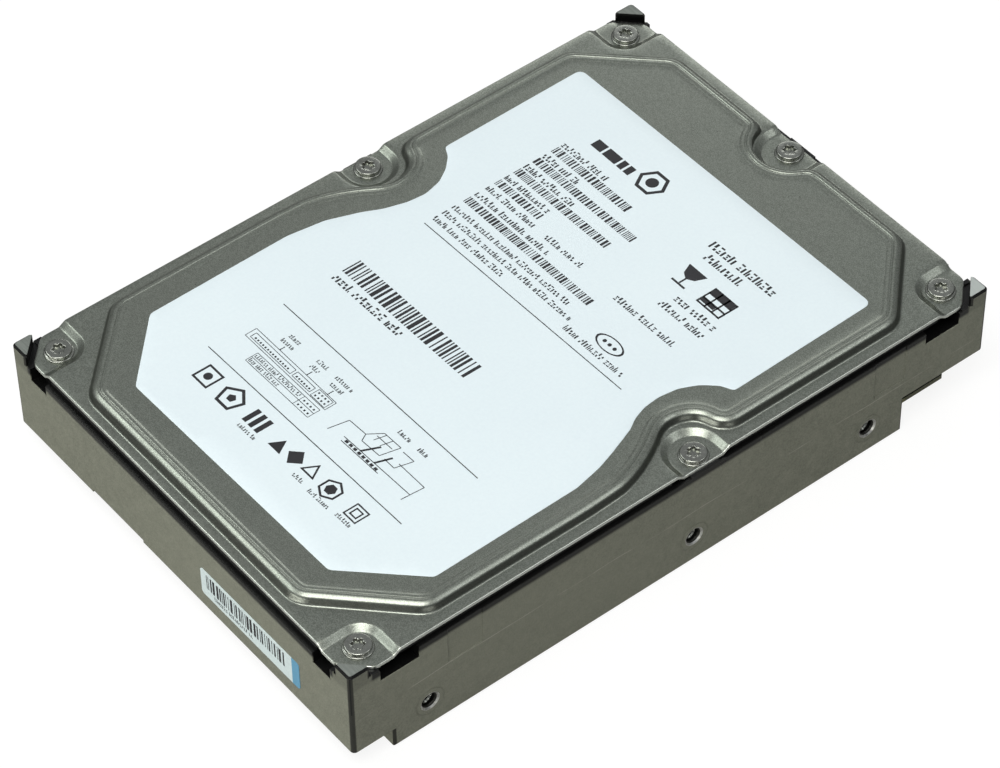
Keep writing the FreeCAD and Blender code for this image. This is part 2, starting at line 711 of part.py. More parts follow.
def top_cover():
    cover = new_body("top_cover")
    edge_x, edge_y, cut = dims.cover_half_x, dims.cover_half_y, COVER_CORNER_CUT
    edge = [(edge_x, -(edge_y - cut)), (edge_x, edge_y - cut), (edge_x - cut, edge_y),
            (-(edge_x - cut), edge_y), (-edge_x, edge_y - cut), (-edge_x, -(edge_y - cut)),
            (-(edge_x - cut), -edge_y), (edge_x - cut, -edge_y)]
    area = label_area()
    pad(cover, "rim", [polygon(edge)], z=dims.rim_under,
        height=dims.rim_top - dims.rim_under)
    pad(cover, "bead", [polygon(offset_polygon(area, BEAD_GROW))], z=dims.rim_top - 0.05,
        height=dims.drive_height - dims.rim_top + 0.05, taper=BEAD_TAPER)
    pad(cover, "pad_blocks", clipped(pad_outlines(PAD_BLOCK_GROW), edge), z=dims.pad_under,
        height=dims.rim_top - dims.pad_under - 0.01)
    pocket(cover, "hollow", [polygon(offset_polygon(area, HOLLOW_GROW))], z=dims.rim_under,
           depth=dims.drive_height - dims.sheet - 0.3 - dims.rim_under,
           taper=HOLLOW_TAPER, up=True)
    pocket(cover, "label_area", [polygon(area)], z=dims.drive_height,
           depth=dims.drive_height - dims.flat_top)
    pocket(cover, "screw_holes", circles(COVER_SCREWS, dims.screw_hole_r), z=25.0, depth=4.0)

    # press the sloping pad sides into the bead and rim
    rise = cell("rim_top") - cell("pad_top")
    high_grow = PAD_SLOPE_RUN * (rise + PRESS_ABOVE) / rise
    presses = [frustum(low, cell("pad_top"), high, cell("rim_top") + PRESS_ABOVE)
               for low, high in zip(pad_outlines(0.0), pad_outlines(high_grow))]
    pressed = doc.addObject("Part::Cut", "top_cover_pressed")
    pressed.Base = cover
    pressed.Tool = group("screw_pad_presses", presses)
    cover.Label = "top_cover_sheet"
    pressed.Label = "top_cover"
    return pressed


# --------------------------------------- gasket, cover screws, label, sticker
# Middle line of the gasket, right half (x, y), from front to rear
GASKET_RIGHT = [
    (39.4, -71.65), (39.4, -61.4), (49.15, -61.4), (49.15, -1.6), (44.6, -0.6),
    (41.6, 2.2), (40.5, 5.7), (41.6, 9.2), (44.6, 12.0), (49.15, 13.0),
    (49.15, 61.4), (39.4, 61.4), (39.4, 71.65), (8.6, 71.65), (7.5, 68.6),
    (5.6, 64.9), (2.9, 62.95)]
GASKET_HALF_WIDTH = 0.55
# Outline of the paper label (x, y), counter-clockwise from the front left
LABEL = [
    (-27.0, -62.4), (29.6, -61.7), (42.4, -48.5), (42.0, -16.5), (40.8, -10.5),
    (37.2, -0.4), (35.7, 2.0), (34.7, 5.0), (34.4, 8.5), (35.0, 12.5), (36.7, 16.0),
    (39.2, 18.8), (41.7, 20.0), (41.0, 52.6), (40.2, 53.4), (-40.2, 52.6),
    (-41.0, 51.8), (-40.7, 19.1), (-38.3, 17.9), (-35.9, 15.5), (-34.0, 12.5),
    (-33.0, 8.5), (-33.4, 4.5), (-34.8, 0.0), (-36.8, -4.0), (-39.3, -10.5),
    (-40.5, -18.5), (-40.2, -49.8)]


def cover_gasket():
    gasket = new_body("cover_gasket")
    path = GASKET_RIGHT + mirrored(GASKET_RIGHT)
    pad(gasket, "ring", [polygon(offset_polygon(path, distance))
                         for distance in (GASKET_HALF_WIDTH, -GASKET_HALF_WIDTH)],
        z=dims.gasket_low, height=dims.gasket_high - dims.gasket_low)
    return gasket


def cover_screws():
    return screws("cover_screws", [(num(x), num(y)) for x, y in COVER_SCREWS],
                  seat=cell("pad_top"), head_r=cell("screw_head_r"),
                  head_h=cell("screw_head_h"), shank_r=cell("screw_shank_r") - 0.02,
                  shank_len=7.2)


def top_label():
    label = new_body("top_label")
    pad(label, "paper", [polygon(LABEL)], z=dims.flat_top, height=0.1)
    return label


def front_sticker():
    sticker = box_object("front_sticker", corner=(6.9, -num(half_y), 8.25),
                         size=(29.0, cell("sticker_thick"), 6.75))
    bind(sticker, "Width", dims.sticker_thick)
    bind(sticker, "Placement.Base.y", -half_y)
    return sticker


# ------------------------------------------------ spindle motor and platters
upper_platter_z = dims.platter_a_z + dims.platter_t + dims.spacer_h
clamp_z = upper_platter_z + dims.platter_t
CLAMP_THICK = 1.1
STATOR_Z, STATOR_THICK, STATOR_TEETH = 7.1, 2.0, 9
STATOR_TOOTH = [(6.2, -0.6), (9.9, -0.6), (10.1, -2.2), (11.0, -2.2), (11.2, 0.0),
                (11.0, 2.2), (10.1, 2.2), (9.9, 0.6), (6.2, 0.6)]


def on_spindle(obj):
    obj.Placement = Placement(Vector(0, cell("spindle_y"), 0), Rotation())
    bind(obj, "Placement.Base.y", dims.spindle_y)
    return obj


def motor_bracket():
    bracket = new_body("motor_bracket")
    under, socket_floor, collar_top = dims.bracket_under, 5.1, 9.6
    revolve(bracket, "plate", [
        (0.0, under), (dims.bracket_r, under), (dims.bracket_r, dims.board_recess),
        (4.5, dims.board_recess), (4.5, collar_top), (dims.sleeve_r, collar_top),
        (dims.sleeve_r, socket_floor), (0.0, socket_floor)])
    holes = ring_points(MOTOR_SCREW_RING, MOTOR_SCREW_ANGLES)
    pocket(bracket, "screw_holes", circles(holes, 1.0), z=7.0, depth=4.0)
    return on_spindle(bracket)


def motor_screws():
    return upward_screws("motor_screws", MOTOR_SCREWS, head_z=3.9, head_r=1.6, head_h=0.8,
                         shank_z=4.65, shank_r=0.78, shank_len=4.0)


def bearing_sleeve():
    sleeve = new_body("bearing_sleeve")
    low, high = 5.2, 10.6
    revolve(sleeve, "tube", [(dims.sleeve_bore_r, low), (dims.sleeve_r, low),
                             (dims.sleeve_r, high), (dims.sleeve_bore_r, high)])
    return on_spindle(sleeve)


def stator_core():
    stator = new_body("stator_core")
    pad(stator, "ring", [circle(0.0, 0.0, 6.4), circle(0.0, 0.0, 4.5)],
        z=STATOR_Z, height=STATOR_THICK)
    tooth = pad(stator, "tooth", [polygon(STATOR_TOOTH)], z=STATOR_Z, height=STATOR_THICK)
    polar_pattern(stator, "teeth", tooth, STATOR_TEETH)
    return on_spindle(stator)


def stator_coils():
    """One rounded winding round each stator tooth."""
    coils = []
    for k in range(STATOR_TEETH):
        winding = box((6.9, 9.7), (-1.45, 1.45), (6.65, 9.6))
        tooth_hole = box((6.0, 10.5), (-0.62, 0.62), (7.08, 9.12))
        long_edges = [e for e in winding.Edges if e.BoundBox.XLength > 2]
        coil = winding.makeFillet(0.5, long_edges).cut(tooth_hole)
        coil.rotate(Vector(0, 0, 0), Vector(0, 0, 1), 360.0 / STATOR_TEETH * k)
        coil.translate(Vector(0, cell("spindle_y"), 0))
        coils.append(coil)
    return group("stator_coils", coils)


def spindle_hub():
    hub = new_body("spindle_hub")
    under, rim_top, middle_top = 11.0, 18.1, 17.6
    revolve(hub, "shell", [
        (dims.shaft_r, under), (dims.hub_flange_r, under),
        (dims.hub_flange_r, dims.platter_a_z), (dims.hub_r, dims.platter_a_z),
        (dims.hub_r, rim_top), (6.0, rim_top), (5.0, middle_top),
        (dims.shaft_r, middle_top)])
    threads = ring_points(CLAMP_SCREW_RING, CLAMP_SCREW_ANGLES)
    pocket(hub, "clamp_threads", circles(threads, 0.92), z=18.2, depth=4.5)
    return on_spindle(hub)


def spindle_shaft():
    shaft = bound_cylinder("spindle_shaft_rod", dims.shaft_r, height=12.0,
                           x=0.0, y=dims.spindle_y, z=5.4)
    shaft.Label = "spindle_shaft"
    return shaft


def spindle_tube(label, outer_r, inner_r, height, z):
    return tube(label, outer_r, inner_r, height, 0.0, dims.spindle_y, z)


def platter(label, z):
    disc = new_body(label)
    rim_break = 0.15
    outer, top = dims.platter_r, z + dims.platter_t
    revolve(disc, "disc", [
        (dims.platter_bore_r, z), (outer - rim_break, z), (outer, z + rim_break),
        (outer, top - rim_break), (outer - rim_break, top), (dims.platter_bore_r, top)])
    return on_spindle(disc)


def disk_clamp():
    clamp = new_body("disk_clamp")
    inner_under, top = clamp_z + 0.25, clamp_z + CLAMP_THICK
    revolve(clamp, "dish", [
        (6.2, inner_under), (11.8, inner_under), (12.8, clamp_z), (15.4, clamp_z),
        (15.4, clamp_z + 0.8), (13.6, top), (6.2, top)])
    hole = pocket(clamp, "hole", [circle(CLAMP_SCREW_RING, 0.0, 1.0)], z=clamp_z + 2.0,
                  depth=3.0)
    polar_pattern(clamp, "holes", hole, len(CLAMP_SCREW_ANGLES))
    return on_spindle(clamp)


def clamp_screws():
    places = ring_points(CLAMP_SCREW_RING, CLAMP_SCREW_ANGLES, cell("spindle_y"))
    return screws("clamp_screws", places, seat=num(clamp_z) + CLAMP_THICK, head_r=1.75,
                  head_h=0.8, shank_r=0.9, shank_len=4.6)


# ----------------------------------------------------------------- actuator
# Its parts are drawn about the pivot with the arms along +X, then swung to park.
ARM_OUTLINE = [(7.0, -7.0), (20.0, -5.2), (33.0, -3.0), (dims.arm_reach, -2.6),
               (dims.arm_reach, 2.6), (33.0, 3.0), (20.0, 5.2), (7.0, 7.0)]
ARM_SLOT = [(14.0, -2.2), (26.0, -1.4), (28.0, 0.0), (26.0, 1.4), (14.0, 2.2), (12.6, 0.0)]
ARM_HOLE_X = 33.0
BLOCK_Z = 11.4
# underside, thickness
ARMS = [(BLOCK_Z, 0.8), (15.07, dims.arm_t), (18.94, dims.arm_t)]
BEAM_OUTLINE = [(30.0, -2.4), (36.0, -2.2), (40.0, -1.7), (49.6, -0.6), (51.6, -0.55),
                (51.6, 0.55), (49.6, 0.6), (40.0, 1.7), (36.0, 2.2), (30.0, 2.4)]
# beam underside, beam top, far face of the slider, whether the head faces up
HEADS = [(12.2, 12.45, 12.94, True), (14.82, 15.07, 14.33, False),
         (16.07, 16.32, 16.81, True), (18.69, 18.94, 18.2, False)]
COIL_Z = cell("coil_low")
COIL_TOP = COIL_Z + cell("coil_t")
COIL_IN, COIL_OUT = cell("coil_in"), cell("coil_out")
COIL_HALF_ANGLE = 14.0
COIL_WIDTH = 3.2  # radial width of the winding
# Middle line of the flex loop (x, y), in the frame of the drive, from the arm block
FLEX_PATH = [(-18.66, 31.15), (-18.7, 33.0), (-17.0, 34.5), (-13.5, 34.1), (-8.0, 31.6),
             (-2.0, 29.2), (4.0, 30.6), (7.5, 36.0), (8.35, 43.0), (8.4, 51.0)]
FLEX_Z, FLEX_HEIGHT, FLEX_HALF_THICK, FLEX_STATIONS = 12.6, 6.2, 0.08, 60


def on_actuator(obj):
    obj.Placement = Placement(PIVOT, Rotation(Vector(0, 0, 1), cell("park_angle")))
    bind(obj, "Placement.Base.x", dims.pivot_x)
    bind(obj, "Placement.Base.y", dims.pivot_y)
    return obj


def actuator_block():
    block = new_body("actuator_block")
    hub_r = cell("arm_hub_r")
    hub = [(9.0, 5.2), (5.6, hub_r), (-2.4, hub_r)]
    hub += arc_points(0.0, 0.0, hub_r, 108.0, 318.0, 20) + [(9.0, -5.2)]
    pad(block, "hub", [polygon(hub), circle(0.0, 0.0, dims.pivot_sleeve_r + 0.02)],
        z=BLOCK_Z, height=8.8)
    for k, (z, thick) in enumerate(ARMS):
        pad(block, "arm_%d" % k,
            [polygon(ARM_OUTLINE), polygon(ARM_SLOT), circle(ARM_HOLE_X, 0.0, 1.2)],
            z=z, height=thick)
    return on_actuator(block)


def pivot_sleeve():
    return tube("pivot_sleeve", dims.pivot_sleeve_r, dims.pivot_bore_r, height=8.4,
                x=dims.pivot_x, y=dims.pivot_y, z=11.6)


def pivot_post():
    post = new_body("pivot_post")
    low, floor, flange_top, top = 8.3, dims.floor_top, 11.0, 21.0
    stub_r, flange_r = 1.95, 5.2
    revolve(post, "turned", [
        (0.0, low), (stub_r, low), (stub_r, floor), (flange_r, floor),
        (flange_r, flange_top), (dims.pivot_r, flange_top), (dims.pivot_r, top), (0.0, top)])
    hexagon = arc_points(0.0, 0.0, 1.5, 0.0, 300.0, 5)
    pocket(post, "drive_socket", [polygon(hexagon)], z=top, depth=2.0)
    post.Placement = Placement(PIVOT, Rotation())
    bind(post, "Placement.Base.x", dims.pivot_x)
    bind(post, "Placement.Base.y", dims.pivot_y)
    return post


def fan(inner_r, outer_r, half_angle, z0, z1):
    """Ring sector about the pivot, on the side away from the arms."""
    start, end = 180.0 - half_angle, 180.0 + half_angle
    return prism(arc_points(0, 0, outer_r, start, end, 10)
                 + arc_points(0, 0, inner_r, end, start, 10), z0, z1)


def voice_coil():
    coil = fan(COIL_IN, COIL_OUT, COIL_HALF_ANGLE, COIL_Z, COIL_TOP)
    window = fan(COIL_IN + COIL_WIDTH, COIL_OUT - COIL_WIDTH, 5.6, COIL_Z - 1, COIL_TOP + 1)
    return on_actuator(feature("voice_coil", coil.cut(window)))


def coil_frame():
    """Frame round the coil, with a slot for the latch tab, and the bobbin inside it."""
    low, top = COIL_Z + 0.1, COIL_TOP - 0.1
    frame = fan(8.3, 29.5, 17.0, low, top)
    frame = frame.fuse(fan(8.52, 13.0, 34.0, low, top))
    frame = frame.cut(fan(COIL_IN - 0.02, COIL_OUT + 0.02, COIL_HALF_ANGLE + 0.03,
                          COIL_Z - 1, COIL_TOP + 1))
    bobbin_inset = COIL_WIDTH + 0.02
    bobbin = fan(COIL_IN + bobbin_inset, COIL_OUT - bobbin_inset, 5.55,
                 COIL_Z + 0.3, COIL_TOP - 0.3)
    frame = frame.cut(cyl(0, 0, 0, cell("arm_hub_r") + 0.02, 30))
    frame = frame.cut(box((-31.0, -28.4), (5.0, 7.6), (COIL_Z + 0.6, COIL_TOP - 0.6)))
    return on_actuator(group("coil_frame", [frame, bobbin]))


def latch_tab():
    tab = box((-30.3, -28.42), (5.02, 7.58), (COIL_Z + 0.62, COIL_TOP - 0.62))
    return on_actuator(feature("latch_tab", tab.common(cyl(0, 0, 0, 30.2, 40))))


def head_suspensions():
    """Tapered beams, each with a round boss in the hole of its arm."""
    boss_h = 0.3
    beams = []
    for under, top, _, faces_up in HEADS:
        boss_z = under - boss_h if faces_up else under
        boss = cyl(ARM_HOLE_X, 0, boss_z, 1.15, top - under + boss_h)
        beams.append(prism(BEAM_OUTLINE, under, top).fuse(boss))
    return on_actuator(group("head_suspensions", beams))


def head_sliders():
    return on_actuator(group("head_sliders", [
        box((50.2, 51.45), (-0.5, 0.5), (top, face_z) if faces_up else (face_z, under))
        for under, top, face_z, faces_up in HEADS]))


def flex_anchor():
    return on_actuator(feature("flex_anchor", box((-2.2, 5.2), (8.52, 8.92), (12.2, 19.2))))


def head_preamp():
    return on_actuator(feature("head_preamp", box((0.3, 4.0), (8.94, 9.7), (13.8, 17.8))))


def flex_loop():
    """Thin strip on edge, from the arm block to the bracket on the floor."""
    middle = Part.BSplineCurve()
    middle.interpolate([Vector(x, y, FLEX_Z) for x, y in FLEX_PATH])
    first, last = middle.FirstParameter, middle.LastParameter
    left, right = [], []
    for k in range(FLEX_STATIONS + 1):
        station = first + (last - first) * k / FLEX_STATIONS
        point, tangent = middle.value(station), middle.tangent(station)[0]
        normal = Vector(-tangent.y, tangent.x, 0)
        left.append(point + normal * FLEX_HALF_THICK)
        right.append(point - normal * FLEX_HALF_THICK)
    left_curve, right_curve = Part.BSplineCurve(), Part.BSplineCurve()
    left_curve.interpolate(left)
    right_curve.interpolate(right)
    outline = Part.Wire([left_curve.toShape(), Part.makeLine(left[-1], right[-1]),
                         right_curve.toShape(), Part.makeLine(right[0], left[0])])
    return feature("flex_loop", Part.Face(outline).extrude(Vector(0, 0, FLEX_HEIGHT)))


# -------------------------------------------------------- voice coil motor
# Yoke plate outline (x, y), closed by an arc round the pivot
YOKE_OUTER = [(-7.8, 40.0), (-7.8, 58.5), (-11.5, 62.0), (-34.4, 62.0), (-43.8, 52.6),
              (-43.8, 38.5), (-37.1, 36.5)]
YOKE_INNER_R = 12.5
upper_yoke_z = dims.magnet_up_z + dims.magnet_t
YOKE_GAP_Z = FLOOR + cell("yoke_low_t")  # top of the lower yoke
YOKE_GAP = num(upper_yoke_z) - YOKE_GAP_Z
CRASH_STOPS = [(-40.7, 50.9), (-9.7, 47.5)]
LATCH_R = 30.8  # latch magnet from the pivot


def yoke_plate(label, z, thick):
    plate = new_body(label)
    inner = arc_points(PIVOT.x, PIVOT.y, YOKE_INNER_R, 138.0, 36.0, 12)[1:]
    pad(plate, "plate", [polygon(YOKE_OUTER + inner)] + circles(YOKE_POSTS, 1.05), z, thick)
    return plate


def magnet(label, z):
    sector = new_body(label)
    points = arc_points(PIVOT.x, PIVOT.y, COIL_OUT, 54.0, 113.0, 12)
    points += arc_points(PIVOT.x, PIVOT.y, COIL_IN, 113.0, 54.0, 12)
    pad(sector, "sector", [polygon(points)], z, dims.magnet_t)
    return sector


def yoke_standoffs():
    return group("yoke_standoffs", [
        cyl(x, y, YOKE_GAP_Z, 1.75, YOKE_GAP).cut(cyl(x, y, 11.0, 1.0, 10.0))
        for x, y in YOKE_POSTS])


def yoke_screws():
    return screws("yoke_screws", YOKE_POSTS, seat=num(upper_yoke_z) + cell("yoke_up_t"),
                  head_r=2.0, head_h=1.0, shank_r=0.88, shank_len=13.2)


def crash_stop_pins():
    return group("crash_stop_pins", [cyl(x, y, YOKE_GAP_Z, 0.9, YOKE_GAP)
                                     for x, y in CRASH_STOPS])


def crash_stops():
    return group("crash_stops", [cyl(x, y, 13.0, 1.8, 5.0).cut(cyl(x, y, 12.0, 0.92, 8.0))
                                 for x, y in CRASH_STOPS])


def latch_magnet():
    """Small magnet behind the parked coil frame that holds the steel tab."""
    tab_angle = math.degrees(math.atan2(6.3, 29.3))
    angle = cell("park_angle") + 180.0 - tab_angle
    latch = box((-1.3, 1.3), (0.0, 2.0), (14.6, 16.6))
    latch.rotate(Vector(0, 0, 0), Vector(0, 0, 1), angle - 90.0)
    latch.translate(Vector(PIVOT.x + LATCH_R * math.cos(math.radians(angle)),
                           PIVOT.y + LATCH_R * math.sin(math.radians(angle)), 0))
    return feature("latch_magnet", latch)


# ------------------------------------- flex bracket, feed-through and filters
BRACKET_SCREWS = [(24.0, 39.3), (24.0, 54.7)]
BRACKET_TOP = 11.3
FEED_PINS = [(15.5 + 1.5 * k, y) for k in range(9) for y in (45.7, 48.3)]


def flex_bracket():
    """Floor plate with a window for the feed connector and an upright on its left edge."""
    plate = box((9.2, 36.0), (37.0, 57.0), (FLOOR, BRACKET_TOP))
    plate = plate.cut(box((11.6, 32.4), (41.6, 52.4), (10.0, 12.0)))
    plate = plate.fuse(box((9.2, 10.0), (39.0, 55.0), (FLOOR, 19.4)))
    for x, y in BRACKET_SCREWS:
        plate = plate.cut(cyl(x, y, 10.0, 1.1, 2.0))
    return feature("flex_bracket", plate)


def bracket_screws():
    return screws("bracket_screws", BRACKET_SCREWS, seat=BRACKET_TOP, head_r=1.9,
                  head_h=0.9, shank_r=0.95, shank_len=0.78)


def feed_connector():
    feed = box((12.0, 32.0), (42.0, 52.0), (FLOOR, 13.6))
    feed = feed.fuse(box((14.25, 29.75), (44.25, 49.75), (4.0, 10.6)))
    for x, y in FEED_PINS:
        feed = feed.cut(box(around(x, 0.25), around(y, 0.25), (3.0, 15.0)))
    return feature("feed_connector", feed)


def feed_pins():
    return group("feed_pins", [box(around(x, 0.23), around(y, 0.23), (2.65, 14.6))
                               for x, y in FEED_PINS])


def recirculation_filter():
    return box_object("recirculation_filter", corner=(36.5, 17.6, 10.55),
                      size=(6.5, 2.6, 8.0))


def breather_filter():
    return box_object("breather_filter", corner=(18.5, 26.5, 10.55), size=(17.0, 7.0, 3.2))


# ------------------------------------------------------------ circuit board
BOARD_STEP_Y = 54.4  # where the board widens behind the rails
BOARD_CORNER_CUT = 1.5
BOARD_UNDER = cell("board_under")
ON_BOARD = BOARD_UNDER + cell("board_t") + 0.02  # just above the board
# label, x0, y0, x1, y1, height below the board
CHIPS = [("controller_chip", 2.0, 24.0, 22.0, 44.0, 1.2),
         ("memory_chip", -24.0, 28.0, -13.0, 46.0, 1.1),
         ("motor_driver_chip", -36.0, -8.0, -24.0, 4.0, 1.0),
         ("board_crystal", -6.0, 40.0, -1.0, 43.2, 1.0)]
# capacitor middles (x, y)
CAPACITORS = [
    (-30, 10), (-26, 10), (-22, 10), (-33, -14), (-29, -14), (30, 10), (30, 14), (34, 10),
    (34, 14), (27, 30), (27, 34), (31, 30), (26, -10), (30, -10), (34, -10), (-10, 8),
    (-6, 8), (10, 52), (14, 52), (18, 52), (-20, 54), (-24, 54)]


def circuit_board():
    board = new_body("circuit_board")
    narrow, wide, rear, cut = (dims.board_half_x, dims.board_rear_half_x, dims.board_rear,
                               BOARD_CORNER_CUT)
    outline = [(-narrow, dims.board_front), (narrow, dims.board_front),
               (narrow, BOARD_STEP_Y), (wide, BOARD_STEP_Y), (wide, rear - cut),
               (wide - cut, rear), (-(wide - cut), rear), (-wide, rear - cut),
               (-wide, BOARD_STEP_Y), (-narrow, BOARD_STEP_Y)]
    pad(board, "laminate", [polygon(outline), circle(0.0, dims.spindle_y, 20.4)],
        z=dims.board_under, height=dims.board_t)
    pocket(board, "screw_holes", circles(BOARD_SCREWS, 1.5), z=4.0, depth=4.0)
    return board


def board_screws():
    return upward_screws("board_screws", BOARD_SCREWS, head_z=0.7, head_r=2.3, head_h=0.9,
                         shank_z=1.5, shank_r=1.08, shank_len=5.5)


def board_chips():
    chips = []
    for label, x0, y0, x1, y1, height in CHIPS:
        chip = box_object(label, corner=(x0, y0, BOARD_UNDER - height),
                          size=(x1 - x0, y1 - y0, height))
        bind(chip, "Placement.Base.z", dims.board_under - height)
        chips.append(chip)
    return chips


def board_capacitors():
    return group("board_capacitors", [
        box(around(x, 1.0), around(y, 0.6), (0.7, BOARD_UNDER)) for x, y in CAPACITORS])


def board_foam():
    return box_object("board_foam", corner=(-32.0, 6.0, 2.7), size=(44.0, 26.0, 3.7))


def motor_contacts():
    return group("motor_contacts", [
        box((-5.4 + 3.0 * k, -3.6 + 3.0 * k), (1.0, 3.2), (ON_BOARD, 6.45))
        for k in range(4)])


# ------------------------------------------- rear connector and jumper block
# number of contacts, x of the middle one
CONTACT_ROWS = [(15, 24.9), (7, 7.0)]
CAVITY_WALL = 1.6
JUMPER_RIGHT = -4.6  # right side of the jumper header
JUMPER_LOW_Z = 3.9
JUMPER_PITCH = cell("jumper_pitch")
JUMPERS = [(JUMPER_RIGHT - 1.4 - JUMPER_PITCH * k, z) for k in range(4)
           for z in (JUMPER_LOW_Z, JUMPER_LOW_Z + JUMPER_PITCH)]


def data_power_connector():
    # on the XZ plane the normal is -Y, so an offset of -y places a sketch at y
    plug = new_body("data_power_connector")
    left = dims.plug_x - dims.plug_width / 2
    right = dims.plug_x + dims.plug_width / 2
    pad(plug, "housing", [rect(left, 61.8, right, dims.plug_face)], z=ON_BOARD, height=5.9)
    pocket(plug, "mating_cavity", [rect(left + CAVITY_WALL, 3.5, right - CAVITY_WALL, 8.0)],
           z=-dims.plug_face, depth=6.4, plane="XZ_Plane", up=True)
    pad(plug, "tongues", [rect(14.6, 4.6, 35.2, 5.85), rect(1.8, 4.6, 12.2, 5.85)],
        z=-67.2, height=5.7, plane="XZ_Plane")
    return plug


def connector_contacts():
    contacts = []
    for count, middle_x in CONTACT_ROWS:
        for k in range(count):
            x = middle_x + (k - count // 2) * cell("pin_pitch")
            contacts.append(box(around(x, 0.4), (67.3, 72.3), (5.86, 6.0)))
    return group("connector_contacts", contacts)


def jumper_header():
    header = box((JUMPER_RIGHT - 10.4, JUMPER_RIGHT), (63.0, 69.6), (ON_BOARD, 8.3))
    for x, z in JUMPERS:
        header = header.cut(box(around(x, 0.33), (60.0, 75.0), around(z, 0.33)))
    return feature("jumper_header", header)


def jumper_pins():
    return group("jumper_pins", [box(around(x, 0.31), (62.8, 73.2), around(z, 0.31))
                                 for x, z in JUMPERS])


# ---------------------------------------------------------- build all pieces
pieces = [
    base_casting(),
    top_cover(),
    cover_gasket(),
    cover_screws(),
    top_label(),
    front_sticker(),
    motor_bracket(),
    motor_screws(),
    bearing_sleeve(),
    stator_core(),
    stator_coils(),
    spindle_hub(),
    spindle_shaft(),
    spindle_tube("rotor_yoke", outer_r=13.5, inner_r=12.5, height=4.1, z=6.9),
    spindle_tube("rotor_magnet", outer_r=12.5, inner_r=11.5, height=3.4, z=7.3),
    platter("platter_lower", dims.platter_a_z),
    spindle_tube("platter_spacer", dims.hub_flange_r, dims.platter_bore_r, dims.spacer_h,
                 dims.platter_a_z + dims.platter_t),
    platter("platter_upper", upper_platter_z),
    disk_clamp(),
    clamp_screws(),
    actuator_block(),
    pivot_sleeve(),
    pivot_post(),
    voice_coil(),
    coil_frame(),
    latch_tab(),
    head_suspensions(),
    head_sliders(),
    flex_anchor(),
    head_preamp(),
    flex_loop(),
    yoke_plate("lower_yoke", dims.floor_top, dims.yoke_low_t),
    yoke_plate("upper_yoke", upper_yoke_z, dims.yoke_up_t),
    magnet("lower_magnet", dims.magnet_low_z),
    magnet("upper_magnet", dims.magnet_up_z),
    yoke_standoffs(),
    yoke_screws(),
    crash_stop_pins(),
    crash_stops(),
    latch_magnet(),
    flex_bracket(),
    bracket_screws(),
    feed_connector(),
    feed_pins(),
    recirculation_filter(),
    breather_filter(),
    circuit_board(),
    board_screws(),
    *board_chips(),
    board_capacitors(),
    board_foam(),
    motor_contacts(),
    data_power_connector(),
    connector_contacts(),
    jumper_header(),
    jumper_pins(),
]

# ---------------------------------------------------------- check and export
doc.recompute()
for obj in doc.Objects:
    for word in ("Invalid", "Error"):
        if word in obj.State:
            raise RuntimeError("%s is %s" % (obj.Name, obj.State))
os.makedirs("parts", exist_ok=True)
seen = set()
for piece in pieces:
    shape = piece.Shape
    if shape.isNull() or not shape.isValid() or not shape.Solids:
        raise RuntimeError("bad shape: " + piece.Label)
    if piece.Label in seen:
        raise RuntimeError("label used twice: " + piece.Label)
    seen.add(piece.Label)
    shape.exportStep("parts/%s.step" % piece.Label)
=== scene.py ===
"""A flat rectangular drive: cast base, pressed cover with seven screws, label and front sticker.

The body lies flat with its thickness along +Z, its long sides along Y and its front at -Y.
Meshes are laid out in millimetres and scaled by MM; shader lengths are in metres.
"""
import json
import math
import random
from functools import cached_property, reduce

import bpy
import numpy as np
from mathutils import Matrix, Vector
from mathutils.geometry import delaunay_2d_cdt


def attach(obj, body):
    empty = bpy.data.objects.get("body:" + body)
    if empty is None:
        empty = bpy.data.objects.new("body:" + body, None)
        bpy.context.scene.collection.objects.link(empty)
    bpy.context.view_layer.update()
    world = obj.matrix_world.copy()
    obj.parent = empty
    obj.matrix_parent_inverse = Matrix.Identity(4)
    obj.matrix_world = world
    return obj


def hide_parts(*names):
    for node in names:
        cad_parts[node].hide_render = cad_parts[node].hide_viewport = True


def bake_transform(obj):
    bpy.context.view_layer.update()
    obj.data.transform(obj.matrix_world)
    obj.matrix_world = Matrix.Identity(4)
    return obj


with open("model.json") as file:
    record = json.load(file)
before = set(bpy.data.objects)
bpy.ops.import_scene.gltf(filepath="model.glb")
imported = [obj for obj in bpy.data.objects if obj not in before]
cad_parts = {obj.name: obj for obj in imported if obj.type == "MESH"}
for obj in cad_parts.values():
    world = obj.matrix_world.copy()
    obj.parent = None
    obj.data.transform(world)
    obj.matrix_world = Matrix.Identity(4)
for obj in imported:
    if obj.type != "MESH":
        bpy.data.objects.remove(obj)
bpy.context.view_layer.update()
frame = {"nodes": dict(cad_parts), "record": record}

MM = 0.001
rnd = random.Random(7)

# holes of the casting: three in each flank, three near each long edge underneath
SIDE_HOLES_Y = (45.0, 3.39, -56.6)
SIDE_HOLE_Z = 6.35
BASE_HOLES_Y = (32.22, -12.23, -43.98)
BASE_HOLE_X = 47.625
BRIGHT_RADIUS = 2.08
BORE_RADIUS = 1.68

# cover screws and the pads they sit on
SEAT_Z = 23.4
SIDE_SCREW = (47.3, 5.7)
REAR_SCREW_Y = 69.85
SCREWS = [(44.9, 67.05), (-44.9, 67.05), (44.9, -67.05), (-44.9, -67.05), SIDE_SCREW,
          (-SIDE_SCREW[0], SIDE_SCREW[1]), (0.0, REAR_SCREW_Y)]


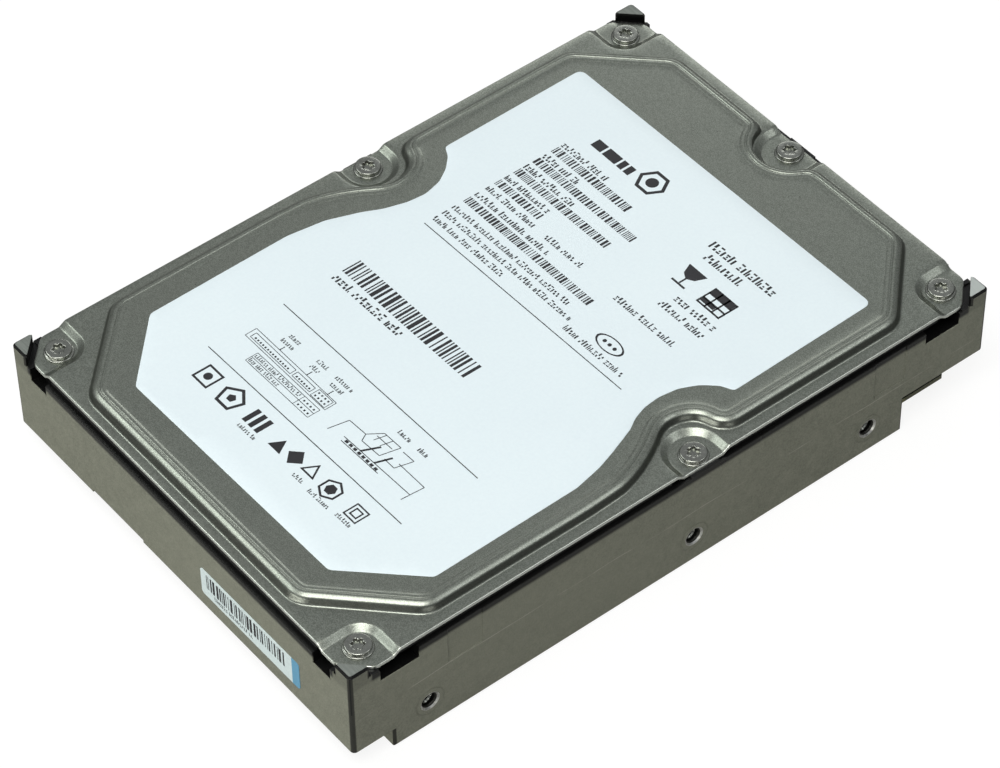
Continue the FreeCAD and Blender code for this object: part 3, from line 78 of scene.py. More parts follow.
# =============================================================== materials
class Nodes:
    """Wires one node tree; a value may be a number, a colour or an output socket."""

    def __init__(self, owner):
        owner.use_nodes = True
        self.tree = owner.node_tree
        self.tree.nodes.clear()

    def new(self, kind, inputs=None, **props):
        node = self.tree.nodes.new(kind)
        for key, value in props.items():
            setattr(node, key, value)
        for key, value in (inputs or {}).items():
            self.feed(node.inputs[key], value)
        return node

    def link(self, output, socket):
        self.tree.links.new(output, socket)

    def feed(self, socket, value):
        if isinstance(value, bpy.types.NodeSocket):
            self.link(value, socket)
        elif socket.type == "RGBA":
            socket.default_value = (*value, 1.0)
        else:
            socket.default_value = value

    def split(self, vector):
        """X, Y and Z of a vector."""
        node = self.new("ShaderNodeSeparateXYZ", {0: vector})
        return [node.outputs[axis] for axis in "XYZ"]

    def ramp(self, value, over, to=(0.0, 1.0)):
        """Carry the range `over` of a value onto the range `to`."""
        node = self.new("ShaderNodeMapRange", {
            "From Min": over[0], "From Max": over[1],
            "To Min": to[0], "To Max": to[1], "Value": value})
        return node.outputs[0]


class Material(Nodes):
    """One procedural material around a principled shader."""

    def __init__(self, name):
        self.material = bpy.data.materials.new(name)
        super().__init__(self.material)
        self.out = self.new("ShaderNodeOutputMaterial")
        self.bsdf = self.new("ShaderNodeBsdfPrincipled")
        self.link(self.bsdf.outputs[0], self.out.inputs[0])

    @cached_property
    def place(self):
        return self.new("ShaderNodeTexCoord").outputs["Object"]

    def normal(self, kind):
        """X, Y and Z of the surface normal."""
        return self.split(self.new("ShaderNodeNewGeometry").outputs[kind])

    def stretched(self, *scale):
        return self.new("ShaderNodeMapping", {"Scale": scale, "Vector": self.place}).outputs[0]

    def noise(self, scale, detail, rough, vector=None):
        node = self.new("ShaderNodeTexNoise", {
            "Scale": scale, "Detail": detail, "Roughness": rough,
            "Vector": self.place if vector is None else vector})
        return node.outputs["Fac"]

    def mix(self, factor, low, high):
        """Colour `low` where the factor is 0, `high` where it is 1."""
        return self.new("ShaderNodeMix", {0: factor, 6: low, 7: high},
                        data_type="RGBA").outputs[2]

    def math(self, operation, first, second):
        return self.new("ShaderNodeMath", {0: first, 1: second}, operation=operation).outputs[0]

    def add(self, first, second):
        return self.math("ADD", first, second)

    def subtract(self, first, second):
        return self.math("SUBTRACT", first, second)

    def multiply(self, *terms):
        return reduce(lambda first, second: self.math("MULTIPLY", first, second), terms)

    def maximum(self, *terms):
        return reduce(lambda first, second: self.math("MAXIMUM", first, second), terms)

    def absolute(self, value):
        return self.math("ABSOLUTE", value, 0.0)

    def above(self, value, limit):
        return self.math("GREATER_THAN", value, limit)

    def below(self, value, limit):
        return self.math("LESS_THAN", value, limit)

    def invert(self, value):
        return self.subtract(1.0, value)

    def weighted(self, first, second):
        """Sum of two (value, weight) pairs."""
        return self.add(self.multiply(*first), self.multiply(*second))

    def in_circle(self, first, second, center, radius):
        """1 inside a circle (mm) in the plane of two coordinates."""
        d1 = self.subtract(first, center[0] * MM)
        d2 = self.subtract(second, center[1] * MM)
        squared = self.add(self.multiply(d1, d1), self.multiply(d2, d2))
        return self.below(squared, (radius * MM) ** 2)

    def bump(self, height, strength, depth_mm, normal=None):
        inputs = {"Strength": strength, "Distance": depth_mm * MM, "Height": height}
        if normal is not None:
            inputs["Normal"] = normal
        return self.new("ShaderNodeBump", inputs).outputs[0]

    def round_edges(self, radius_mm):
        return self.new("ShaderNodeBevel", {"Radius": radius_mm * MM}, samples=4).outputs[0]

    def shaded(self, inputs):
        """Feed the principled shader and hand back the finished material."""
        for key, value in inputs.items():
            self.feed(self.bsdf.inputs[key], value)
        return self.material


def surface(name, light, dark, metallic, rough, spread, grain, blotch, bump, bump_mm,
            edges=0.0, coat=0.0, stretch=None, spec=0.5):
    """Two scales of colour variation, roughness variation and a fine grain."""
    m = Material(name)
    fine = m.noise(scale=grain, detail=3.0, rough=0.6,
                   vector=m.stretched(*stretch) if stretch else None)
    broad = m.noise(scale=blotch, detail=4.0, rough=0.6)
    both = m.weighted((fine, 0.5), (broad, 0.5))
    inputs = {
        "Base Color": m.mix(m.ramp(both, over=(0.35, 0.65)), low=dark, high=light),
        "Metallic": metallic,
        "Roughness": m.ramp(both, over=(0.3, 0.7), to=(rough - spread, rough + spread)),
        "Specular IOR Level": spec}
    if coat:
        inputs["Coat Weight"] = coat
        inputs["Coat Roughness"] = 0.15
    base = m.round_edges(edges) if edges else None
    inputs["Normal"] = m.bump(fine, bump, bump_mm, base)
    return m.shaded(inputs)


def casting_coat(m, x, y, z, across, speck, broad):
    """Speckled coating with a parting line and one painted shadow line, the shade of a shallow
    step, on the flanks.
    """
    flank_x = 0.05075
    color = m.mix(m.ramp(speck, over=(0.36, 0.64)),
                  low=(0.150, 0.155, 0.122), high=(0.232, 0.238, 0.190))
    color = m.mix(m.ramp(broad, over=(0.4, 0.7), to=(0.0, 0.5)), color,
                  high=(0.224, 0.229, 0.181))
    # a fine pale line wanders in height and fades in places
    wander = m.ramp(m.noise(scale=24.0, detail=2.0, rough=0.5),
                    over=(0.3, 0.7), to=(0.0118, 0.0136))
    away = m.absolute(m.subtract(z, wander))
    fade = m.noise(scale=85.0, detail=3.0, rough=0.6)
    seam = m.multiply(m.ramp(away, over=(0.00006, 0.00013), to=(1.0, 0.0)),
                      m.ramp(fade, over=(0.42, 0.58), to=(0.0, 0.55)),
                      m.above(across, flank_x))
    color = m.mix(seam, color, high=(0.42, 0.42, 0.36))
    # painted shadow: a near-black line where a shallow step in the flank would cast shade
    step_shadow_y = 0.0462
    away = m.absolute(m.subtract(y, step_shadow_y))
    step_shadow = m.multiply(m.below(away, limit=0.00009), m.above(x, flank_x),
                      m.ramp(z, over=(0.0125, 0.0150), to=(0.0, 0.8)))
    return m.mix(step_shadow, color, high=(0.012, 0.012, 0.010))


def casting_masks(m, y, z, across, along):
    """Painted shade on the casting's top edge, corners, recess and post rims, and where the
    corner posts are machined.
    """
    normal_x, normal_y, normal_z = m.normal("True Normal")
    # painted shade: the flank turns black towards its top, under the cover's edge
    top_edge_shade = m.ramp(z, over=(0.0208, 0.0215), to=(0.0, 0.97))
    corner_zone = m.multiply(m.ramp(across, over=(0.0458, 0.0462)),
                             m.ramp(along, over=(0.0685, 0.0689)))
    # the lip lies a little lower in the rear half
    lip_z, rear_drop = 0.02466, 0.00045
    rear = m.above(y, limit=0.0)
    lip = m.subtract(lip_z, m.multiply(rear, rear_drop))
    # painted shade: everything above the lip except the machined post tops turns black
    ring = m.multiply(m.above(z, lip), 0.97)
    top_edge_shade = m.multiply(top_edge_shade, m.invert(m.multiply(corner_zone, 0.75)))
    # painted shade in the recess inside the outer faces
    inside = m.multiply(m.below(across, limit=0.05062), m.below(along, limit=0.07322),
                        m.above(z, limit=0.0150))
    # painted shade on the rounded vertical corners, where the normal is diagonal
    diagonal = m.absolute(m.multiply(normal_x, normal_y))
    corner = m.ramp(diagonal, over=(0.04, 0.25), to=(0.0, 0.9))
    painted_shade = m.maximum(m.maximum(top_edge_shade, ring), inside, corner)
    # top faces of the corner posts are machined, framed by the painted shade above the lip
    post_rise = 0.0003
    high = m.above(z, m.add(lip, post_rise))
    upward = m.above(normal_z, limit=0.9)
    border = m.multiply(m.below(across, limit=0.05039), m.below(along, limit=0.07309))
    return painted_shade, m.multiply(high, upward, border)


def casting_holes(m, y, z, across):
    """Where the mounting holes are bare metal, and the painted shade in their bores."""
    outer = m.above(across, limit=0.04475)
    sides = m.maximum(*(m.in_circle(y, z, (hole_y, SIDE_HOLE_Z), BRIGHT_RADIUS)
                        for hole_y in SIDE_HOLES_Y))
    bright = m.multiply(sides, outer)
    under = m.below(z, limit=0.0085)
    bright = m.maximum(bright, *(
        m.multiply(m.in_circle(y, across, (hole_y, BASE_HOLE_X), BRIGHT_RADIUS), under)
        for hole_y in BASE_HOLES_Y))
    bore_shade = m.maximum(*(m.in_circle(y, z, (hole_y, SIDE_HOLE_Z), BORE_RADIUS)
                       for hole_y in SIDE_HOLES_Y))
    return bright, bore_shade


def casting_material():
    m = Material("cast_coating")
    fine = m.noise(scale=3000.0, detail=2.0, rough=0.6)
    mid = m.noise(scale=520.0, detail=4.0, rough=0.6)
    broad = m.noise(scale=26.0, detail=4.0, rough=0.55)
    x, y, z = m.split(m.place)
    across = m.absolute(x)
    along = m.absolute(y)
    speck = m.weighted((fine, 0.6), (mid, 0.4))
    color = casting_coat(m, x, y, z, across, speck, broad)
    painted_shade, post = casting_masks(m, y, z, across, along)
    bright, bore_shade = casting_holes(m, y, z, across)
    # the painted shade stays off the machined post tops and the bare holes
    painted_shade = m.multiply(painted_shade, m.invert(m.maximum(post, bright)))
    # tool marks on the posts; the rear right one is painted paler, a painted reflection
    tool = m.noise(scale=300.0, detail=3.0, rough=0.6, vector=m.stretched(1.0, 14.0, 1.0))
    machined = m.mix(m.ramp(tool, over=(0.3, 0.7)),
                     low=(0.15, 0.165, 0.15), high=(0.23, 0.25, 0.23))
    rear_right_reflection = m.multiply(m.above(x, limit=0.0), m.above(y, limit=0.0))
    machined = m.mix(m.multiply(rear_right_reflection, 0.75), machined, high=(0.52, 0.56, 0.54))
    bare = m.mix(m.ramp(mid, over=(0.35, 0.65)),
                 low=(0.34, 0.34, 0.32), high=(0.86, 0.86, 0.82))
    # painted shade: the bores are painted near black
    bare = m.mix(bore_shade, bare, high=(0.05, 0.05, 0.045))
    # painted shade: near-black colour
    color = m.mix(painted_shade, color, high=(0.0035, 0.0036, 0.0035))
    color = m.mix(post, color, machined)
    rough = m.ramp(m.add(mid, m.multiply(broad, 0.6)), over=(0.5, 1.1), to=(0.46, 0.60))
    # the painted-shade areas and the bare metal are glossier
    gloss = m.multiply(m.maximum(painted_shade, bright), 0.22)
    height = m.add(m.multiply(fine, 0.5), mid)
    return m.shaded({
        "Base Color": m.mix(bright, color, bare),
        "Metallic": m.weighted((bright, 0.95), (post, 0.2)),
        "Roughness": m.subtract(rough, gloss),
        "Specular IOR Level": m.ramp(painted_shade, over=(0.0, 1.0), to=(0.16, 0.30)),
        "Normal": m.bump(height, strength=0.25, depth_mm=0.05,
                         normal=m.round_edges(radius_mm=0.18))})


def cover_material():
    m = Material("cover_sheet_metal")
    fine = m.noise(scale=5200.0, detail=1.0, rough=0.5)
    mottle = m.noise(scale=1500.0, detail=3.0, rough=0.65)
    broad = m.noise(scale=38.0, detail=5.0, rough=0.6)
    scratch = m.noise(scale=140.0, detail=4.0, rough=0.7, vector=m.stretched(1.0, 0.06, 1.0))
    speck = m.weighted((fine, 0.75), (mottle, 0.25))
    color = m.mix(m.ramp(speck, over=(0.40, 0.60)),
                  low=(0.196, 0.213, 0.183), high=(0.322, 0.348, 0.303))
    color = m.mix(m.ramp(broad, over=(0.35, 0.75), to=(0.0, 0.25)), color,
                  high=(0.27, 0.275, 0.24))
    # painted shade: the steep flanks of the bead are painted darker than the flats
    normal_z = m.normal("Normal")[2]
    steep_shade = m.ramp(normal_z, over=(0.52, 0.78), to=(0.72, 0.0))
    color = m.mix(steep_shade, color, high=(0.050, 0.054, 0.047))
    # painted highlight: a bright line painted along the sheared edge of the rolled-over rim
    x, y, _ = m.split(m.place)
    across = m.absolute(x)
    along = m.absolute(y)
    rim = m.maximum(m.ramp(across, over=(0.05004, 0.05014)),
                    m.ramp(along, over=(0.07224, 0.07234)),
                    m.ramp(m.add(across, along), over=(0.11750, 0.11762)))
    color = m.mix(m.multiply(rim, 0.85), color, high=(0.78, 0.81, 0.75))
    wear = m.weighted((mottle, 0.5), (scratch, 0.5))
    height = m.add(m.multiply(fine, 0.4), mottle)
    return m.shaded({
        "Base Color": color,
        "Metallic": 0.9,
        "Roughness": m.ramp(wear, over=(0.3, 0.7), to=(0.26, 0.35)),
        "Normal": m.bump(height, strength=0.16, depth_mm=0.02)})


def sticker_material():
    """White paper, its tones darkened as painted shade on the front face, with a blue band at
    its +X end.
    """
    m = Material("front_sticker_paper")
    blue = m.above(m.split(m.place)[0], limit=0.03375)
    fibre = m.noise(scale=1400.0, detail=3.0, rough=0.6)
    # painted shade: the paper tones are set darker because the front face gets less light
    white = m.mix(m.ramp(fibre, over=(0.3, 0.7)),
                  low=(0.60, 0.70, 0.71), high=(0.70, 0.80, 0.80))
    return m.shaded({
        "Base Color": m.mix(blue, white, high=(0.12, 0.33, 0.50)),
        "Roughness": m.ramp(fibre, over=(0.3, 0.7), to=(0.42, 0.55)),
        "Normal": m.bump(fibre, strength=0.08, depth_mm=0.02)})


def board_material():
    """Green mask on the flat faces, bare laminate on the edges, both painted darker on the rear
    wings as painted shade.
    """
    m = Material("solder_mask_board")
    normal_z = m.normal("True Normal")[2]
    flat = m.above(m.absolute(normal_z), limit=0.5)
    fine = m.noise(scale=900.0, detail=3.0, rough=0.6)
    weave = m.noise(scale=400.0, detail=2.0, rough=0.5, vector=m.stretched(1.0, 1.0, 14.0))
    mask = m.mix(m.ramp(fine, over=(0.35, 0.65)),
                 low=(0.012, 0.075, 0.028), high=(0.026, 0.120, 0.048))
    edge = m.mix(m.ramp(weave, over=(0.3, 0.7)),
                 low=(0.30, 0.29, 0.10), high=(0.48, 0.46, 0.18))
    x, y, _ = m.split(m.place)
    # painted shade on the rear wings
    wing_shade = m.multiply(m.above(m.absolute(x), limit=0.0442),
                      m.ramp(y, over=(0.0560, 0.0585), to=(0.0, 0.85)))
    edge = m.mix(wing_shade, edge, high=(0.075, 0.078, 0.060))
    mask = m.mix(wing_shade, mask, high=(0.030, 0.036, 0.028))
    return m.shaded({
        "Base Color": m.mix(flat, edge, mask),
        "Roughness": m.ramp(fine, over=(0.3, 0.7), to=(0.24, 0.36)),
        "Coat Weight": 0.25,
        "Normal": m.bump(fine, strength=0.2, depth_mm=0.03,
                         normal=m.round_edges(radius_mm=0.06))})


# slot, material name, light tone, dark tone,
# metallic, roughness, its spread, grain scale, blotch scale, bump strength, bump depth (mm),
# options: edge rounding (mm), clear coat, stretch of the grain, specular level
SURFACES = [
    ("gasket", "gasket_foam", (0.012, 0.012, 0.012), (0.006, 0.006, 0.006),
     0.0, 0.85, 0.08, 2200.0, 200.0, 0.5, 0.06, {}),
    ("screw", "screw_zinc", (0.36, 0.372, 0.335), (0.26, 0.268, 0.242),
     1.0, 0.24, 0.05, 2500.0, 350.0, 0.08, 0.008, {}),
    ("paper", "label_paper", (0.760, 0.850, 0.880), (0.722, 0.812, 0.850),
     0.0, 0.42, 0.06, 1500.0, 25.0, 0.06, 0.015, dict(spec=0.45)),
    ("ink", "label_ink", (0.020, 0.020, 0.024), (0.010, 0.010, 0.012),
     0.0, 0.50, 0.06, 2500.0, 300.0, 0.05, 0.01, {}),
    ("aluminium", "machined_aluminium", (0.72, 0.73, 0.74), (0.58, 0.59, 0.60),
     1.0, 0.30, 0.08, 900.0, 60.0, 0.12, 0.015, dict(edges=0.1, stretch=(1.0, 8.0, 1.0))),
    ("steel", "turned_steel", (0.52, 0.53, 0.54), (0.38, 0.39, 0.40),
     1.0, 0.28, 0.08, 900.0, 70.0, 0.12, 0.012, dict(edges=0.08, stretch=(1.0, 1.0, 10.0))),
    ("nickel", "nickel_plate", (0.66, 0.64, 0.59), (0.54, 0.52, 0.48),
     1.0, 0.22, 0.06, 1200.0, 90.0, 0.10, 0.012, dict(edges=0.12)),
    ("disc", "polished_disc", (0.82, 0.81, 0.79), (0.78, 0.77, 0.75),
     1.0, 0.05, 0.02, 2500.0, 20.0, 0.01, 0.002, {}),
    ("copper", "copper_winding", (0.62, 0.25, 0.10), (0.36, 0.12, 0.04),
     1.0, 0.32, 0.08, 700.0, 200.0, 0.5, 0.06, dict(stretch=(6.0, 6.0, 1.0))),
    ("laminate", "lamination_steel", (0.22, 0.22, 0.23), (0.12, 0.12, 0.13),
     0.9, 0.40, 0.1, 500.0, 120.0, 0.5, 0.06, dict(stretch=(0.2, 0.2, 18.0))),
    ("magnet", "sintered_magnet", (0.13, 0.13, 0.14), (0.07, 0.07, 0.08),
     0.6, 0.50, 0.08, 1400.0, 160.0, 0.3, 0.04, dict(edges=0.12)),
    ("black_plastic", "black_moulding", (0.022, 0.022, 0.024), (0.012, 0.012, 0.013),
     0.0, 0.46, 0.08, 1800.0, 160.0, 0.25, 0.03, dict(edges=0.1)),
    ("amber_film", "amber_film", (0.50, 0.22, 0.03), (0.33, 0.13, 0.02),
     0.0, 0.22, 0.06, 500.0, 90.0, 0.1, 0.03, dict(coat=0.5, stretch=(1.0, 1.0, 9.0))),
    ("rubber", "bumper_rubber", (0.020, 0.020, 0.020), (0.010, 0.010, 0.010),
     0.0, 0.70, 0.08, 1200.0, 200.0, 0.3, 0.04, dict(edges=0.12)),
    ("white_filter", "filter_felt", (0.80, 0.80, 0.77), (0.60, 0.60, 0.57),
     0.0, 0.90, 0.05, 900.0, 250.0, 0.8, 0.12, dict(edges=0.2)),
    ("chip", "chip_package", (0.030, 0.030, 0.032), (0.018, 0.018, 0.020),
     0.0, 0.52, 0.08, 2400.0, 300.0, 0.25, 0.02, dict(edges=0.08)),
    ("gold", "gold_contact", (0.80, 0.55, 0.20), (0.62, 0.40, 0.13),
     1.0, 0.26, 0.06, 1200.0, 150.0, 0.1, 0.01, dict(edges=0.06)),
    ("ceramic", "capacitor_ceramic", (0.42, 0.32, 0.22), (0.28, 0.20, 0.13),
     0.0, 0.42, 0.08, 1400.0, 220.0, 0.2, 0.02, dict(edges=0.08)),
    ("foam", "board_foam_sheet", (0.050, 0.050, 0.052), (0.022, 0.022, 0.024),
     0.0, 0.92, 0.04, 700.0, 250.0, 0.9, 0.15, dict(edges=0.2)),
    ("slider", "slider_ceramic", (0.07, 0.07, 0.08), (0.04, 0.04, 0.05),
     0.1, 0.30, 0.06, 2500.0, 400.0, 0.1, 0.01, {}),
]

MATERIALS = {
    "casting": casting_material(),
    "board": board_material(),
    "cover": cover_material(),
    "sticker": sticker_material(),
}
for slot, *values, options in SURFACES:
    MATERIALS[slot] = surface(*values, **options)

for entry in frame["record"]["subparts"]:
    piece = frame["nodes"].get(entry["node"])
    if piece is None:
        continue
    piece.data.materials.clear()
    piece.data.materials.append(MATERIALS[entry["material_slot"]])


# ============================================================ mesh helpers
def new_object(name, verts, faces, material, smooth_angle=None):
    """Object from millimetre vertices, smooth up to an angle in degrees if one is given."""
    mesh = bpy.data.meshes.new(name)
    mesh.from_pydata([(x * MM, y * MM, z * MM) for x, y, z in verts], [], faces)
    mesh.validate()
    mesh.update()
    thing = bpy.data.objects.new(name, mesh)
    bpy.context.scene.collection.objects.link(thing)
    mesh.materials.append(material)
    if smooth_angle is not None:
        mesh.shade_smooth()
        mesh.set_sharp_from_angle(angle=math.radians(smooth_angle))
    return thing


def base_object(*args, **options):
    """Object that stays with the base."""
    thing = new_object(*args, **options)
    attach(thing, "base")
    return thing


def resample(points, step):
    """Closed polyline at an even step."""
    closed = np.array(points + [points[0]], float)
    lengths = np.hypot(*(closed[1:] - closed[:-1]).T)
    reach = np.concatenate([[0], np.cumsum(lengths)])
    stations = np.linspace(0, reach[-1], int(round(reach[-1] / step)), endpoint=False)
    return np.stack([np.interp(stations, reach, closed[:, 0]),
                     np.interp(stations, reach, closed[:, 1])], 1)


def smoothed(points, step, sigma):
    """Closed polyline with its corners softened by a Gaussian along its length."""
    line = resample(points, step)
    half = int(math.ceil(3 * sigma / step))
    weights = np.exp(-0.5 * (np.arange(-half, half + 1) * step / sigma) ** 2)
    weights /= weights.sum()
    out = np.zeros_like(line)
    for shift, weight in zip(range(-half, half + 1), weights):
        out += weight * np.roll(line, -shift, axis=0)
    return out


def signed_distance(points, polygon):
    """Distance from points to a closed polygon, negative inside."""
    start = polygon
    end = np.roll(polygon, -1, axis=0)
    side = end - start
    squared = (side ** 2).sum(1)
    out = np.empty(len(points))
    batch = 1500  # points handled at once, to bound memory
    for i in range(0, len(points), batch):
        part = points[i:i + batch]
        offset = part[:, None, :] - start[None]
        t = np.clip((offset * side[None]).sum(2) / squared[None], 0, 1)
        gap = offset - t[..., None] * side[None]
        dist = np.sqrt((gap ** 2).sum(2).min(1))
        spans = (start[None, :, 1] > part[:, 1:2]) != (end[None, :, 1] > part[:, 1:2])
        with np.errstate(divide="ignore", invalid="ignore"):
            crossing = start[None, :, 0] + \
                (part[:, 1:2] - start[None, :, 1]) * side[None, :, 0] / side[None, :, 1]
        inside = (spans & (part[:, 0:1] < crossing)).sum(1) % 2 == 1
        out[i:i + batch] = np.where(inside, -dist, dist)
    return out


def offset_line(polygon, distance):
    """Points at a distance outside a smooth closed polygon (counter-clockwise)."""
    tangent = np.roll(polygon, -1, axis=0) - np.roll(polygon, 1, axis=0)
    tangent /= np.hypot(*tangent.T)[:, None]
    normal = np.stack([tangent[:, 1], -tangent[:, 0]], 1)
    moved = polygon + normal * distance
    return moved[np.abs(signed_distance(moved, polygon)) > abs(distance) - 0.02]


def arc(x, y, radius, start, end, steps):
    angles = [math.radians(start + (end - start) * k / steps) for k in range(steps + 1)]
    return [(x + radius * math.cos(a), y + radius * math.sin(a)) for a in angles]


def circle(x, y, radius, count):
    return arc(x, y, radius, 0.0, 360.0 - 360.0 / count, count - 1)


def grid(x_range, y_range, step):
    columns, rows = np.meshgrid(np.arange(*x_range, step), np.arange(*y_range, step))
    return np.stack([columns.ravel(), rows.ravel()], 1)


class Plan:
    """Points and fixed edges in the XY plane, to be triangulated."""

    def __init__(self):
        self.points, self.edges = [], []

    def add_points(self, points):
        self.points += [(float(x), float(y)) for x, y in points]

    def add_line(self, points, closed=True):
        start, count = len(self.points), len(points)
        self.add_points(points)
        self.edges += [(start + i, start + (i + 1) % count)
                       for i in range(count if closed else count - 1)]

    def triangulate(self, epsilon):
        points, _, faces, _, _, _ = delaunay_2d_cdt(
            [Vector(p) for p in self.points], self.edges, [], 0, epsilon)
        return (np.array([(p.x, p.y) for p in points]),
                np.array([f for f in faces if len(f) == 3]))


def double_areas(points, triangles):
    a, b, c = (points[triangles[:, i]] for i in range(3))
    return (b[:, 0] - a[:, 0]) * (c[:, 1] - a[:, 1]) - (b[:, 1] - a[:, 1]) * (c[:, 0] - a[:, 0])


def closed_sheet(points, triangles, top, bottom):
    """Vertices and faces of a sheet between two heights, walled along its open edges."""
    turned = double_areas(points, triangles) < 0
    triangles[turned] = triangles[turned][:, ::-1]
    n = len(points)
    faces = [tuple(int(i) for i in f) for f in triangles]
    faces += [tuple(int(i) + n for i in f[::-1]) for f in triangles]
    uses = {}
    for f in triangles:
        for i in range(3):
            side = (int(f[i]), int(f[(i + 1) % 3]))
            back = side[::-1]
            if back in uses:
                uses[back] += 1
            else:
                uses[side] = uses.get(side, 0) + 1
    faces += [(i, i + n, j + n, j) for (i, j), count in uses.items() if count == 1]
    verts = np.vstack([np.column_stack([points, top]), np.column_stack([points, bottom])])
    return verts.tolist(), faces


# =============================================================== top cover
COVER_THICKNESS = 0.65
RIM_DROP, RIM_WIDTH = 0.12, 0.20  # the rim rolls over by this much, over this width

# foot of the raised bead: x, y of the right half, from the front to the rear
REAR_RELIEF_RADIUS = 9.5
BEAD_RIGHT = [
    (29.6, -67.0), (44.4, -52.2), (44.4, -18.0), (44.06, -10.5), (43.4, -8.0), (42.5, -5.5),
    (41.3, -3.0), (39.9, -0.5), (38.6, 1.4), (37.6, 3.2), (36.95, 5.7), (37.2, 8.5),
    (37.8, 10.3), (38.7, 12.0), (40.0, 13.4), (41.7, 14.5), (44.4, 15.4), (44.4, 52.8),
    (30.8, 66.6), (10.0, 66.5)]
BEAD_RIGHT += arc(0.0, REAR_SCREW_Y, REAR_RELIEF_RADIUS, -20.6, -90.0, 10)[:-1]
BEAD_LEFT = [(-x, y) for x, y in reversed(BEAD_RIGHT)]
bead = smoothed(BEAD_RIGHT + [(0.0, REAR_SCREW_Y - REAR_RELIEF_RADIUS)] + BEAD_LEFT,
                step=0.25, sigma=0.62)[::2]

# section across the bead: distance outside its contour, height
SECTION = np.array([
    (-0.6, 25.80), (-0.1, 25.80), (-0.02, 25.815), (0.06, 25.855), (0.18, 25.89),
    (0.30, 25.925), (0.42, 25.95), (0.70, 25.955), (0.86, 25.96), (0.94, 25.92),
    (1.02, 25.965), (1.12, 25.985), (1.20, 25.95), (1.28, 26.01), (1.40, 26.06),
    (1.52, 26.09), (1.62, 26.10), (1.72, 26.095), (1.84, 26.065), (1.98, 26.015),
    (2.12, 25.95), (2.26, 25.88), (2.40, 25.805), (2.54, 25.72), (2.66, 25.625),
    (2.78, 25.47), (2.90, 25.26), (3.02, 25.02), (3.14, 24.79), (3.28, 24.57),
    (3.42, 24.43), (3.56, 24.368), (3.72, 24.35), (3.9, 24.35)])

# outer edge of the cover: a rectangle with cut corners
COVER_EDGE = [(50.2, -67.5), (50.2, 67.5), (45.3, 72.4), (-45.3, 72.4), (-50.2, 67.5),
              (-50.2, -67.5), (-45.3, -72.4), (45.3, -72.4)]
edge = smoothed(COVER_EDGE, step=0.35, sigma=0.6)

# screw pads: kind, side in x, side in y
PADS = [("corner", sx, sy) for sx in (1, -1) for sy in (1, -1)]
PADS += [("side", 1, 0), ("side", -1, 0), ("rear", 0, 1)]
CORNER_PAD = (41.8, 63.5)  # inner edges of a corner pad
CORNER_PAD_RADIUS = 3.4
SIDE_PAD_RADIUS = 4.5
REAR_PAD_RADIUS = 5.25
RISE_START, RISE_END = -0.15, 1.65  # the pad wall, as distances outside the pad floor
RISE = 0.95
PAD_LINES = (-0.4, -0.15, -0.03, 0.09, 0.21, 0.5, 0.85, 1.15, 1.29, 1.41, 1.53, 1.65, 1.9)


def pad_distance(points):
    """Distance outside the nearest screw pad floor, negative on it."""
    best = np.full(len(points), 99.0)
    x, y = points[:, 0], points[:, 1]
    for kind, sx, sy in PADS:
        if kind == "corner":
            radius = CORNER_PAD_RADIUS
            dx = CORNER_PAD[0] - x * sx + radius
            dy = CORNER_PAD[1] - y * sy + radius
            dist = np.hypot(np.maximum(dx, 0), np.maximum(dy, 0)) + \
                np.minimum(np.maximum(dx, dy), 0) - radius
        elif kind == "side":
            dx = np.minimum(x * sx - SIDE_SCREW[0], 0)
            dist = np.hypot(dx, y - SIDE_SCREW[1]) - SIDE_PAD_RADIUS
        else:
            dy = np.minimum(y - REAR_SCREW_Y, 0)
            dist = np.hypot(dy, x) - REAR_PAD_RADIUS
        best = np.minimum(best, dist)
    return best


def pad_line(kind, sx, sy, out):
    """Line round a pad at a distance outside its floor, run on past the cover's edge."""
    if kind == "corner":
        x, y = CORNER_PAD
        points = [(x - out, 74.0), (x - out, 70.0)]
        points += arc(x + CORNER_PAD_RADIUS, y + CORNER_PAD_RADIUS, CORNER_PAD_RADIUS + out,
                      180.0, 270.0, 14)
        points += [(48.5, y - out), (52.0, y - out)]
        return [(x * sx, y * sy) for x, y in points]
    if kind == "side":
        radius = SIDE_PAD_RADIUS + out
        x, y = SIDE_SCREW
        points = [(52.0, y - radius), (49.5, y - radius)]
        points += arc(x, y, radius, 270.0, 90.0, 30)
        points += [(49.5, y + radius), (52.0, y + radius)]
        return [(x * sx, y) for x, y in points]
    radius = REAR_PAD_RADIUS + out
    return [(radius, 74.0), (radius, 71.0)] + \
        arc(0.0, REAR_SCREW_Y, radius, 0.0, -180.0, 32) + [(-radius, 71.0), (-radius, 74.0)]


def eased_ramp(t, ease=0.2):
    """Straight ramp from 0 to 1 whose two ends are rounded over a fraction `ease`."""
    t = np.clip(t, 0, 1)
    slope = 1.0 / (1.0 - ease)
    low = slope * t * t / (2 * ease)
    middle = slope * (t - ease / 2)
    high = 1 - slope * (1 - t) ** 2 / (2 * ease)
    return np.where(t < ease, low, np.where(t > 1 - ease, high, middle))


def cover_height(points):
    """The bead section, cut down by the screw pads with a soft minimum."""
    height = np.interp(signed_distance(points, bead), SECTION[:, 0], SECTION[:, 1])
    out = pad_distance(points)
    # past its wall the pad surface climbs steeply, out of the way
    pad = SEAT_Z + RISE * eased_ramp((out - RISE_START) / (RISE_END - RISE_START)) + \
        np.maximum(out - RISE_END, 0) * 8.0
    softness = 0.10
    share = np.clip(0.5 + 0.5 * (pad - height) / softness, 0, 1)
    return pad * (1 - share) + height * share - softness * share * (1 - share)


